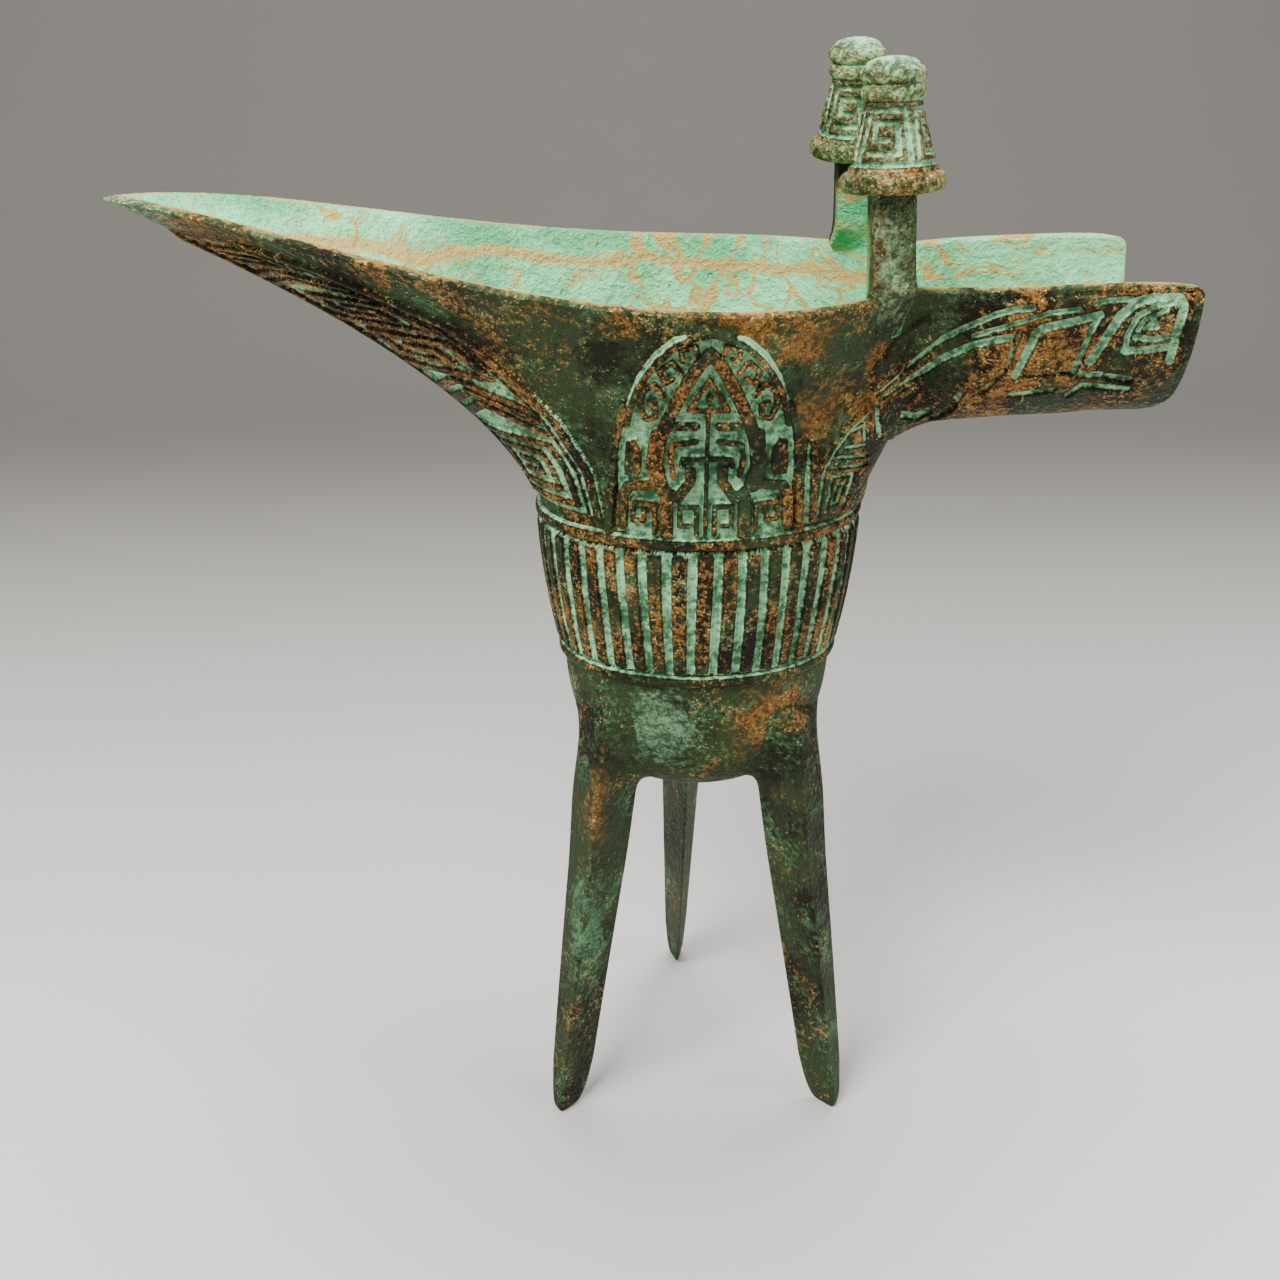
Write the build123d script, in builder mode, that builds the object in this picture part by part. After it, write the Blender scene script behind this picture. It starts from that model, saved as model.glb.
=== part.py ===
"""A small cast bronze jue: oval tripod cup with a pointed tail, a trough spout and two capped posts.

Frame: millimetres, +Z up, origin on the floor under the middle of the oval cup.
The tail points along -X, the spout along +X, and the handle is on the +Y side.
"""
from build123d import *
import os
from math import asin, cos, degrees, exp, hypot, radians, sin

# Heights, each measured from the one before it
LEG_HEIGHT = 43.5            # floor to the underside of the cup
BOWL_DEPTH = 16.8            # underside of the cup to the lower bead
BAND_HEIGHT = 16.7           # lower bead to the upper bead
MOUTH_RISE = 25.8            # upper bead to the low point of the rim
TAIL_RISE = 8.2              # tip of the tail above that low point
TAIL_MID_RISE = 2.3          # rim of the tail's root above that low point
SPOUT_RISE = 1.3             # lip of the spout above that low point

# The oval cup and its mouth
WALL = 1.6
OVAL = 0.77                  # depth of the cup's oval over its length
LOWER_HALF_LENGTH = 15.2     # half length of the oval at the lower bead
UPPER_HALF_LENGTH = 17.4     # half length of the oval at the upper bead
BOWL_FULLNESS = 0.6          # below 1 the bottom is fuller than a half ellipsoid
MOUTH_HALF_WIDTH = 21.0      # half width of the mouth at its widest
MOUTH_WIDEST = 2.0           # where along X the mouth is widest
MOUTH_END = 30.5             # where the mouth's own leaf shape would close, inside the spout
MOUTH_SWEEP = 1.6            # how late the mouth flares
MOUTH_POINT = 0.9            # 0 is an oval mouth, 1 is a leaf with straight-sided points

# Tail
TAIL_REACH = 62.6            # cup axis to the tip of the tail
TAIL_SWEEP = 1.67            # how late the tail flares
TAIL_SEAM = 24.0             # cup axis to the seam between cup and tail

# Spout
SPOUT_REACH = 48.5           # cup axis to the lip of the spout
SPOUT_HALF_WIDTH = 13.9
SPOUT_DEPTH = 16.6           # lip to the keel under it
SPOUT_SWEEP = 1.1            # how late the mouth flares towards the spout
SPOUT_SEAM = 20.6            # cup axis to the seam between cup and spout
SPOUT_FLARE = 3.6            # length over which the keel turns level
SPOUT_ROUND = 30.0           # from here on the spout is a round U
SPOUT_CORNER = 4.0           # rounding of the lip's lower corner

# Legs, three-sided, with a flat outer face and a ridge towards the axis
FOOT_RADIUS = 20.6           # cup axis to the outer face of a front foot
REAR_FOOT_RADIUS = 23.8      # cup axis to the outer face of the rear foot
LEGS = {                     # direction in degrees, and radius of the foot
    "leg_left": (210.0, FOOT_RADIUS),
    "leg_right": (330.0, FOOT_RADIUS),
    "leg_rear": (93.5, REAR_FOOT_RADIUS),
}
LEG_SEAT = 0.92              # outer face of the leg's top, as a share of the oval it lies inside
LEG_TOP_WIDTH = 7.0
LEG_TOP_DEPTH = 8.4
LEG_FOOT_WIDTH = 2.8
LEG_FOOT_DEPTH = 5.0
LEG_EDGE = 0.08              # rounding of the leg's edges, as a share of its width
TIP_HEIGHT = 3.5             # height of the rounded tip
TIP_SHARE = 0.5              # size of the flat under the tip, as a share of the foot

# Posts and caps
POST_X = 18.0
POST_Y = 13.2
POST_LEAN_IN = 4.0           # degrees
POST_LEAN_BACK = 2.0         # degrees
POST_WIDTH = 4.2
POST_EDGE = 0.9
POST_LAP = 3.0               # how far the foot of the post laps over the wall
POST_HEIGHT = 9.6            # rim to the underside of the cap
SPIGOT_DIAMETER = 2.6
SPIGOT_LENGTH = 4.8
SPIGOT_CLEARANCE = 0.05      # all round, and at the end
CAP_FLANGE_DIAMETER = 10.2
CAP_FLANGE_HEIGHT = 2.0
CAP_BODY_DIAMETER = 8.0
CAP_BODY_HEIGHT = 6.2
CAP_NECK_DIAMETER = 5.6
CAP_RING_DIAMETER = 6.6
CAP_RING_HEIGHT = 1.6
CAP_DOME_HEIGHT = 0.9

# Handle on the far side
HANDLE_TOP = 16.0            # upper bead to the middle of the upper arm
HANDLE_BOTTOM = 9.0          # upper bead down to the middle of the lower arm
HANDLE_REACH = 25.5          # cup axis to the middle of the grip
HANDLE_BEND = 6.0
HANDLE_WIDTH = 5.4
HANDLE_THICKNESS = 2.6
HANDLE_EDGE = 0.9
HEAD_WIDTH = 9.0             # animal head at the top of the handle
HEAD_HEIGHT = 6.5
HEAD_DEPTH = 7.0
HORN_LENGTH = 2.4

# Raised work
BEAD_RADIUS = 0.8
RIB_COUNT = 42
RIB_SHARE = 0.62             # rib over rib and groove
RIB_HEIGHT = 0.6
RIB_GAP = 1.0                # bead centre to the end of a rib
RELIEF = 0.5                 # height of the relief plaques
PLAQUE_BASE = 1.3            # upper bead to the foot of the plaques
MASK_HALF_WIDTH = 9.6
MASK_HEIGHT = 22.2
MASK_SHOULDER = 10.0         # height at which the mask's sides turn into the arch
TAIL_LEAF_TOP = 46.0         # cup axis to the point of the leaf under the tail
TAIL_LEAF_FOOT = 12.5        # cup axis to the leaf's near corner at its foot
SPOUT_LEAF_MARGIN = 2.0      # bare border left at the spout's lip and rim

# Levels that follow from the heights
LOWER_BEAD_Z = LEG_HEIGHT + BOWL_DEPTH
UPPER_BEAD_Z = LOWER_BEAD_Z + BAND_HEIGHT
RIM_Z = UPPER_BEAD_Z + MOUTH_RISE
TAIL_Z = RIM_Z + TAIL_RISE
LIP_Z = RIM_Z + SPOUT_RISE
KEEL_Z = LIP_Z - SPOUT_DEPTH
TRIM_Z = RIM_Z + max(TAIL_RISE, SPOUT_RISE) + WALL
FAR = 4 * max(TAIL_REACH, SPOUT_REACH)

BOWL_ANGLES = (80, 65, 50, 35, 20, 0)
BAND_STEPS = (0.25, 0.5, 0.75, 1.0)
MOUTH_STEPS = (0.0, 0.08, 0.18, 0.3, 0.43, 0.57, 0.72, 0.87, 1.0)
OVAL_STEPS = 5
SPOUT_STATIONS = (0.0, 0.07, 0.15, 0.25, 0.4, 0.6, 0.8, 1.0)
SPOUT_STEPS = 6


def smooth(t):
    """Eases from 0 to 1."""
    t = min(max(t, 0.0), 1.0)
    return t * t * (3 - 2 * t)


def band_half_length(t):
    """Half length of the oval between the beads, t running from the lower bead to the upper."""
    return LOWER_HALF_LENGTH + (UPPER_HALF_LENGTH - LOWER_HALF_LENGTH) * (1 - (1 - t) ** 1.7)


def mouth_level(z, inset):
    """Tail reach, spout reach, half width, widest place and pointedness of the mouth at height z."""
    rise = (z - UPPER_BEAD_Z) / MOUTH_RISE
    under = max(rise - 0.6 * inset / MOUTH_RISE * smooth(4 * rise), 0)
    half = OVAL * UPPER_HALF_LENGTH
    half_width = half + (MOUTH_HALF_WIDTH - half) * rise**MOUTH_SWEEP - inset
    spout = UPPER_HALF_LENGTH + (MOUTH_END - UPPER_HALF_LENGTH) * under**SPOUT_SWEEP - inset
    climb = under * MOUTH_RISE / (MOUTH_RISE + TAIL_RISE)
    tail = UPPER_HALF_LENGTH + (TAIL_REACH - UPPER_HALF_LENGTH) * climb**TAIL_SWEEP - inset
    return tail, spout, half_width, MOUTH_WIDEST * smooth(rise), MOUTH_POINT * smooth(rise)


def leaf_width(angle, point):
    """Half width of a leaf, as a share: 0 degrees is its middle, 90 its end."""
    return (1 - point) * cos(radians(angle)) + point * cos(radians(angle)) ** 2


def seam_width(z):
    """Half width of the mouth where the spout is joined on."""
    tail, spout, half_width, widest, point = mouth_level(z, 0)
    share = min((SPOUT_SEAM - widest) / (spout - widest), 1)
    return half_width * leaf_width(degrees(asin(share)), point)


def level_section(z, tail, spout, half_width, widest, point):
    """A level section: an oval drawn out towards the tail and the spout, symmetrical about XZ."""
    near = []
    for i in range(-OVAL_STEPS, OVAL_STEPS + 1):
        angle = 90 * i / OVAL_STEPS
        reach = spout - widest if i > 0 else tail + widest
        near.append((widest + reach * sin(radians(angle)), -half_width * leaf_width(angle, point)))
    far = [(x, -y) for x, y in near[-2:0:-1]]
    with BuildSketch(Plane.XY.offset(z)) as section:
        with BuildLine():
            Spline(near[OVAL_STEPS:] + far + near[:OVAL_STEPS], periodic=True)
        make_face()
    return section.sketch


def bowl_form(inset):
    """The bowl as a filled form up to the upper bead, with its surface moved in by inset."""
    with BuildPart() as form:
        sections = []
        for angle in BOWL_ANGLES:
            half = LOWER_HALF_LENGTH * cos(radians(angle)) ** BOWL_FULLNESS
            z = LOWER_BEAD_Z - (BOWL_DEPTH - inset) * sin(radians(angle))
            sections.append(level_section(z, half - inset, half - inset, OVAL * half - inset, 0, 0))
        for t in BAND_STEPS:
            half = band_half_length(t)
            z = LOWER_BEAD_Z + BAND_HEIGHT * t
            sections.append(level_section(z, half - inset, half - inset, OVAL * half - inset, 0, 0))
        loft(sections=sections)
    return form.part


def mouth_form(inset):
    """Mouth and tail as one filled form above the upper bead, with its surface moved in by inset."""
    with BuildPart() as form:
        sections = []
        for step in MOUTH_STEPS:
            z = UPPER_BEAD_Z + (TRIM_Z + max(inset, 0) - UPPER_BEAD_Z) * step
            sections.append(level_section(z, *mouth_level(z, inset)))
        loft(sections=sections)
    return form.part


def spout_keel(x):
    """Height of the spout's keel: it leaves the cup at the seam and turns level."""
    climb = ((SPOUT_SEAM - UPPER_HALF_LENGTH) / (MOUTH_END - UPPER_HALF_LENGTH)) ** (1 / SPOUT_SWEEP)
    seam_keel = UPPER_BEAD_Z + MOUTH_RISE * climb
    return KEEL_Z - (KEEL_Z - seam_keel) * exp((SPOUT_SEAM - x) / SPOUT_FLARE)


def spout_form(inset, end):
    """The filled spout: upright sections carried along X, from the mouth's own section to a round U."""
    top = TRIM_Z + max(inset, 0)
    start = SPOUT_SEAM - max(inset, 0)
    with BuildPart() as form:
        sections = []
        for step in SPOUT_STATIONS:
            x = start + (end - start) * step
            roundness = smooth((x - SPOUT_SEAM) / (SPOUT_ROUND - SPOUT_SEAM))
            keel = spout_keel(x + 0.7 * inset) + 0.9 * inset
            side = []
            for i in range(SPOUT_STEPS):
                depth = sin(radians(90 * i / SPOUT_STEPS))
                mouth = seam_width(LIP_Z + (spout_keel(SPOUT_SEAM) - LIP_Z) * depth)
                trough = SPOUT_HALF_WIDTH * cos(radians(90 * i / SPOUT_STEPS))
                width = (mouth + (trough - mouth) * roundness) * (1 - inset / SPOUT_HALF_WIDTH)
                side.append((width, LIP_Z + (keel - LIP_Z) * depth))
            mirrored = [(-y, z) for y, z in side[::-1]]
            edge = side[0][0]
            with BuildSketch(Plane.YZ.offset(x)) as section:
                with BuildLine():
                    Spline(side + [(0, keel)] + mirrored)
                    Polyline((-edge, LIP_Z), (-edge, top), (edge, top), (edge, LIP_Z))
                make_face()
            sections.append(section.sketch)
        loft(sections=sections)
    return form.part


def oval_radius(half_length, angle):
    """Distance from the axis to an oval of that half length, in the direction of angle."""
    return half_length / hypot(cos(radians(angle)), sin(radians(angle)) / OVAL)


def write(part, name):
    """Labels one finished piece and writes it."""
    part.label = name
    export_step(part, f"parts/{name}.step")


os.makedirs("parts", exist_ok=True)

bowl_outside = bowl_form(0)
mouth_outside = mouth_form(0)
spout_outside = spout_form(0, SPOUT_REACH)

# Everything above the rim: the rim rises to the tail's tip and a little to the spout's lip
with BuildPart() as above_rim:
    with BuildSketch(Plane.XZ):
        with BuildLine():
            rim = Spline(
                (-TAIL_REACH - WALL, TAIL_Z),
                (-0.35 * TAIL_REACH, RIM_Z + TAIL_MID_RISE),
                (MOUTH_WIDEST, RIM_Z),
                (SPOUT_REACH + 2 * WALL, LIP_Z),
            )
            Polyline(rim @ 1, (FAR, LIP_Z), (FAR, FAR), (-FAR, FAR), (-FAR, TAIL_Z), rim @ 0)
        make_face()
    extrude(amount=FAR, both=True)

# What the rounded lower corner of the spout's lip takes away
with BuildPart() as lip_corner:
    with BuildSketch(Plane.XZ):
        with Locations((SPOUT_REACH, KEEL_Z)):
            Rectangle(2 * SPOUT_CORNER, 2 * SPOUT_CORNER)
        with Locations((SPOUT_REACH - SPOUT_CORNER, KEEL_Z + SPOUT_CORNER)):
            Circle(SPOUT_CORNER, mode=Mode.SUBTRACT)
            Rectangle(2 * SPOUT_CORNER, 2 * SPOUT_CORNER, align=(Align.MAX, Align.CENTER), mode=Mode.SUBTRACT)
            Rectangle(2 * SPOUT_CORNER, 2 * SPOUT_CORNER, align=(Align.CENTER, Align.MIN), mode=Mode.SUBTRACT)
    extrude(amount=FAR, both=True)

with BuildPart() as cup_bowl:
    add(bowl_outside)
    add(bowl_form(WALL), mode=Mode.SUBTRACT)
write(cup_bowl.part, "cup_bowl")

with BuildPart() as mouth_and_tail:
    add(mouth_outside)
    add(mouth_form(WALL), mode=Mode.SUBTRACT)
    add(above_rim.part, mode=Mode.SUBTRACT)

with BuildPart() as cup_mouth:
    add(mouth_and_tail.part)
    split(bisect_by=Plane.YZ.offset(SPOUT_SEAM), keep=Keep.BOTTOM)
    split(bisect_by=Plane.YZ.offset(-TAIL_SEAM), keep=Keep.TOP)
write(cup_mouth.part, "cup_mouth")

with BuildPart() as tail_trough:
    add(mouth_and_tail.part)
    split(bisect_by=Plane.YZ.offset(-TAIL_SEAM), keep=Keep.BOTTOM)
write(tail_trough.part, "tail_trough")

with BuildPart() as spout_trough:
    add(spout_outside)
    add(spout_form(WALL, SPOUT_REACH + 2 * WALL), mode=Mode.SUBTRACT)
    add(above_rim.part, mode=Mode.SUBTRACT)
    add(lip_corner.part, mode=Mode.SUBTRACT)
write(spout_trough.part, "spout_trough")


def leg_section(plane, width, depth):
    """A rounded triangle: flat outer face on the plane's Y axis, ridge towards -X."""
    with BuildSketch(plane) as section:
        with BuildLine():
            Polyline((0, width / 2), (-depth, 0), (0, -width / 2), close=True)
        make_face()
        fillet(section.vertices(), LEG_EDGE * width)
    return section.sketch


def leg_plane(angle, radius, z):
    """A level plane whose X axis points away from the cup's axis."""
    outward = Vector(cos(radians(angle)), sin(radians(angle)), 0)
    return Plane(origin=outward * radius + Vector(0, 0, z), x_dir=outward, z_dir=(0, 0, 1))


leg_top = LOWER_BEAD_Z - 2 * BEAD_RADIUS
for name, (angle, foot_radius) in LEGS.items():
    top_radius = LEG_SEAT * oval_radius(LOWER_HALF_LENGTH, angle)
    ankle_radius = foot_radius + (top_radius - foot_radius) * TIP_HEIGHT / leg_top
    with BuildPart() as leg:
        top = leg_section(leg_plane(angle, top_radius, leg_top), LEG_TOP_WIDTH, LEG_TOP_DEPTH)
        ankle = leg_section(leg_plane(angle, ankle_radius, TIP_HEIGHT), LEG_FOOT_WIDTH, LEG_FOOT_DEPTH)
        loft(sections=[ankle, top])
        tips = [ankle]
        for share in (0.8, TIP_SHARE):
            drop = (1 - share) / (1 - TIP_SHARE)
            width = LEG_FOOT_WIDTH * share
            depth = LEG_FOOT_DEPTH * share
            radius = ankle_radius - (LEG_FOOT_DEPTH - depth) / 4
            tips.append(leg_section(leg_plane(angle, radius, TIP_HEIGHT * (1 - drop**0.5)), width, depth))
        loft(sections=tips)
        add(bowl_outside, mode=Mode.SUBTRACT)
    write(leg.part, name)

# Beads: round wire laid round the oval, half sunk in the wall and cut to seat on it
for name, z, half in (
    ("lower_bead", LOWER_BEAD_Z, LOWER_HALF_LENGTH),
    ("upper_bead", UPPER_BEAD_Z, UPPER_HALF_LENGTH),
):
    with BuildPart() as bead:
        with BuildLine(Plane.XY.offset(z)) as path:
            EllipticalCenterArc((0, 0), half, OVAL * half, arc_size=360)
        with BuildSketch(Plane(origin=path.line @ 0, z_dir=path.line % 0)):
            Circle(BEAD_RADIUS)
        sweep()
        add(bowl_outside, mode=Mode.SUBTRACT)
        add(mouth_outside, mode=Mode.SUBTRACT)
    write(bead.part, name)

# Handle: a strap bent into a C, standing off the far wall, above the rear leg
with BuildPart() as handle_loop:
    with BuildLine(Plane.YZ) as grip:
        FilletPolyline(
            (OVAL * UPPER_HALF_LENGTH - WALL / 2, UPPER_BEAD_Z + HANDLE_TOP),
            (HANDLE_REACH, UPPER_BEAD_Z + HANDLE_TOP),
            (HANDLE_REACH, UPPER_BEAD_Z - HANDLE_BOTTOM),
            (OVAL * LOWER_HALF_LENGTH - WALL / 2, UPPER_BEAD_Z - HANDLE_BOTTOM),
            radius=HANDLE_BEND,
        )
    with BuildSketch(Plane(origin=grip.line @ 0, x_dir=(1, 0, 0), z_dir=grip.line % 0)):
        RectangleRounded(HANDLE_WIDTH, HANDLE_THICKNESS, HANDLE_EDGE)
    sweep()
    add(bowl_outside, mode=Mode.SUBTRACT)
    add(mouth_outside, mode=Mode.SUBTRACT)
write(handle_loop.part, "handle_loop")

# Animal head on the bend of the handle's upper arm: muzzle, brow and two horns
head_z = UPPER_BEAD_Z + HANDLE_TOP
with BuildPart() as handle_mask:
    with BuildSketch(Plane.XZ.offset(-HANDLE_REACH - HANDLE_THICKNESS / 2)):
        with BuildLine():
            Polyline(
                (0, head_z),
                (HEAD_WIDTH / 4, head_z),
                (HEAD_WIDTH / 2, head_z + HEAD_HEIGHT * 0.75),
                (HEAD_WIDTH / 2 + HORN_LENGTH / 2, head_z + HEAD_HEIGHT + HORN_LENGTH / 2),
                (HEAD_WIDTH / 4, head_z + HEAD_HEIGHT),
                (0, head_z + HEAD_HEIGHT - HORN_LENGTH / 3),
                close=True,
            )
        make_face()
        mirror(about=Plane.YZ)
    extrude(amount=HEAD_DEPTH)
    add(mouth_outside, mode=Mode.SUBTRACT)
    add(handle_loop.part, mode=Mode.SUBTRACT)
write(handle_mask.part, "handle_mask")


def oval_point(angle, share):
    """A point at that angle on the upper oval, scaled by share."""
    half = share * UPPER_HALF_LENGTH
    return (half * cos(radians(angle)), OVAL * half * sin(radians(angle)))


# Reeded band: upright ribs on the wall between the beads
with BuildPart() as belly_ribs:
    half_angle = 180 / RIB_COUNT * RIB_SHARE
    with BuildSketch(Plane.XY.offset(LOWER_BEAD_Z + RIB_GAP)):
        for i in range(RIB_COUNT):
            middle = 360 / RIB_COUNT * (i + 0.5)
            corners = [oval_point(middle - half_angle, share) for share in (0.5, 1.5)]
            corners += [oval_point(middle + half_angle, share) for share in (1.5, 0.5)]
            Polygon(*corners, align=None)
    extrude(amount=BAND_HEIGHT - 2 * RIB_GAP)
    add(bowl_form(-RIB_HEIGHT), mode=Mode.INTERSECT)
    add(bowl_outside, mode=Mode.SUBTRACT)
    add(handle_loop.part, mode=Mode.SUBTRACT)
write(belly_ribs.part, "belly_ribs")


# Cap: flange, tapered body, two rings and a low dome, with a socket for the post's spigot
with BuildPart() as cap:
    flange = CAP_FLANGE_DIAMETER / 2
    round_edge = CAP_FLANGE_HEIGHT / 2
    neck = CAP_NECK_DIAMETER / 2
    neck_z = CAP_FLANGE_HEIGHT + CAP_BODY_HEIGHT
    crown_z = neck_z + 2 * CAP_RING_HEIGHT
    with BuildSketch(Plane.XZ):
        with BuildLine():
            Line((0, 0), (flange - round_edge, 0))
            ThreePointArc(
                (flange - round_edge, 0), (flange, round_edge), (flange - round_edge, CAP_FLANGE_HEIGHT)
            )
            Polyline(
                (flange - round_edge, CAP_FLANGE_HEIGHT),
                (CAP_BODY_DIAMETER / 2, CAP_FLANGE_HEIGHT),
                (neck, neck_z),
            )
            for ring in range(2):
                foot_z = neck_z + CAP_RING_HEIGHT * ring
                ThreePointArc(
                    (neck, foot_z),
                    (CAP_RING_DIAMETER / 2, foot_z + CAP_RING_HEIGHT / 2),
                    (neck, foot_z + CAP_RING_HEIGHT),
                )
            TangentArc((0, crown_z + CAP_DOME_HEIGHT), (neck, crown_z), tangent=(1, 0))
            Line((0, crown_z + CAP_DOME_HEIGHT), (0, 0))
        make_face()
    revolve(axis=Axis.Z)
    with BuildSketch(Plane.XY):
        Circle(SPIGOT_DIAMETER / 2 + SPIGOT_CLEARANCE)
    extrude(amount=SPIGOT_LENGTH + SPIGOT_CLEARANCE, mode=Mode.SUBTRACT)

# Posts that straddle the rim at the root of the spout, and the caps on their spigots
for name, side in (("near", -1), ("far", 1)):
    lean = (side * POST_LEAN_IN, -POST_LEAN_BACK, 0)
    foot = Plane(Location((POST_X, side * POST_Y, RIM_Z - POST_LAP), lean))
    seat = foot.offset(POST_LAP + POST_HEIGHT)
    with BuildPart() as post:
        with BuildSketch(foot):
            RectangleRounded(POST_WIDTH, POST_WIDTH, POST_EDGE)
        extrude(amount=POST_LAP + POST_HEIGHT)
        with BuildSketch(seat):
            Circle(SPIGOT_DIAMETER / 2)
        extrude(amount=SPIGOT_LENGTH)
        add(cup_mouth.part, mode=Mode.SUBTRACT)
    write(post.part, f"post_{name}")
    write(cap.part.moved(seat.location), f"cap_{name}")

# Relief plaques: thin skins on the wall, bounded by outlines drawn from the side
plaque_z = UPPER_BEAD_Z + PLAQUE_BASE
mouth_raised = mouth_form(-RELIEF)
spout_raised = spout_form(-RELIEF, SPOUT_REACH)

with BuildPart() as mask_plaque:
    with BuildSketch(Plane.XZ):
        with BuildLine():
            Polyline(
                (-MASK_HALF_WIDTH, plaque_z + MASK_SHOULDER),
                (-MASK_HALF_WIDTH, plaque_z),
                (MASK_HALF_WIDTH, plaque_z),
                (MASK_HALF_WIDTH, plaque_z + MASK_SHOULDER),
            )
            arch = TangentArc(
                (MASK_HALF_WIDTH, plaque_z + MASK_SHOULDER), (0, plaque_z + MASK_HEIGHT), tangent=(0, 1)
            )
            mirror(arch, about=Plane.YZ)
        make_face()
    extrude(amount=FAR)
    add(mouth_raised, mode=Mode.INTERSECT)
    add(mouth_outside, mode=Mode.SUBTRACT)
write(mask_plaque.part, "mask_plaque")

for name, side in (("near", 1), ("far", -1)):
    with BuildPart() as tail_plaque:
        with BuildSketch(Plane.XZ):
            with BuildLine():
                crest = Spline(
                    (-TAIL_LEAF_FOOT, plaque_z),
                    (-(TAIL_LEAF_FOOT + TAIL_LEAF_TOP) / 2 + MOUTH_WIDEST, plaque_z + 0.72 * MOUTH_RISE),
                    (-TAIL_LEAF_TOP, RIM_Z + TAIL_MID_RISE),
                )
                Polyline(crest @ 1, (-TAIL_REACH, plaque_z), crest @ 0)
            make_face()
        extrude(amount=side * FAR)
        add(mouth_raised, mode=Mode.INTERSECT)
        add(mouth_outside, mode=Mode.SUBTRACT)
    write(tail_plaque.part, f"tail_plaque_{name}")

    with BuildPart() as spout_plaque:
        with BuildSketch(Plane.XZ):
            with BuildLine():
                brow = Spline(
                    (SPOUT_SEAM + SPOUT_LEAF_MARGIN, KEEL_Z + 0.2 * SPOUT_DEPTH),
                    (SPOUT_ROUND, KEEL_Z + 0.62 * SPOUT_DEPTH),
                    (SPOUT_REACH - SPOUT_LEAF_MARGIN, LIP_Z - SPOUT_LEAF_MARGIN),
                )
                Polyline(
                    brow @ 1,
                    (SPOUT_REACH - SPOUT_LEAF_MARGIN, KEEL_Z + SPOUT_LEAF_MARGIN),
                    (SPOUT_REACH - SPOUT_CORNER, KEEL_Z - SPOUT_LEAF_MARGIN),
                    (SPOUT_SEAM + SPOUT_LEAF_MARGIN, KEEL_Z - SPOUT_LEAF_MARGIN),
                    brow @ 0,
                )
            make_face()
        extrude(amount=side * FAR)
        add(spout_raised, mode=Mode.INTERSECT)
        add(spout_outside, mode=Mode.SUBTRACT)
    write(spout_plaque.part, f"spout_plaque_{name}")
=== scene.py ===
"""Dresses a small cast bronze jue: patinated walls, carved panels, reeded band, capped posts and legs.

Lengths in the shape functions are millimetres in the model's own frame: +Z up, spout along +X,
tail along -X, handle on the +Y side, origin on the floor under the middle of the cup.
"""

import bmesh
import bpy
import numpy as np
from bpy.props import FloatProperty, FloatVectorProperty, IntProperty, PointerProperty
from mathutils import Euler, Matrix, Vector


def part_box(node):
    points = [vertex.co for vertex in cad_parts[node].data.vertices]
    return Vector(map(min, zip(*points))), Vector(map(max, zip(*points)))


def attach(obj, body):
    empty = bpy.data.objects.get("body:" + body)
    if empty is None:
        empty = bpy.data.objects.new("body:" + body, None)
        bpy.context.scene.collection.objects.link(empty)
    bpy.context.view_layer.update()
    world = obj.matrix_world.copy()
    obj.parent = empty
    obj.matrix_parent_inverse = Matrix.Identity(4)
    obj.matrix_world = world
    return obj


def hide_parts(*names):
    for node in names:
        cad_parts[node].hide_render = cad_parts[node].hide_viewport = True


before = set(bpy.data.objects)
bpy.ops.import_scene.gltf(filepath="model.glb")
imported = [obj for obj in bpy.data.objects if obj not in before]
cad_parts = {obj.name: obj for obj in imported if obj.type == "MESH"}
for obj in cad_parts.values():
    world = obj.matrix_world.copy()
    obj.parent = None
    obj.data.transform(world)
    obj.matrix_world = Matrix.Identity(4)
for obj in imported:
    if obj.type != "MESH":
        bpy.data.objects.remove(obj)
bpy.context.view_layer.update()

bl_info = {
    "name": "Bronze Jue",
    "version": (1, 0, 0),
    "blender": (4, 5, 0),
    "location": "View3D > Sidebar > Jue",
    "description": "Carved and patinated surfaces for a small cast bronze jue",
    "category": "Object",
}

MM = 0.001
LOW, HIGH = 0, 1
X, Y, Z = 0, 1, 2


def node_end(node, corner, axis):
    """Where a CAD node ends: the low or high corner of its box, to the nearest tenth of a millimetre."""
    return round(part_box(node)[corner][axis] / MM, 1)


# Cup: heights of beads and rim, half lengths of its oval levels, and how the levels grow from bead to rim
LOWER_BEAD_Z = 60.3
UPPER_BEAD_Z = node_end("cup_bowl", HIGH, Z)
RIM_Z = 102.8
RIM_EDGE = 0.45              # height of the rim's rounding
OVAL = 0.77                  # width over length
LOWER_HALF = 15.2
UPPER_HALF = 17.4
BOWL_DEPTH = 16.8
FULLNESS = 0.6               # power of the bowl's profile; 1 would be an ellipse
BELLY_POWER = 1.7
MOUTH_RISE = RIM_Z - UPPER_BEAD_Z
MOUTH_HALF_WIDTH = 21.0
MOUTH_POWER = 1.6
MOUTH_WIDEST = 2.0           # where along the length the rim is widest
MOUTH_POINT = 0.9            # how pointed the rim's ends are, 0 to 1
MOUTH_END = 30.5             # where the mouth's own oval ends, inside the spout
END_POWER = 1.1
TAIL_REACH = 62.6
TAIL_CLIMB = 34.0            # rise over which the tail gets its full reach
TAIL_POWER = 1.67
HOLLOW_LIFT = 0.6            # share of the wall by which the hollow's ends lie higher
SETTLING_ROUNDS = 14

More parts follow.
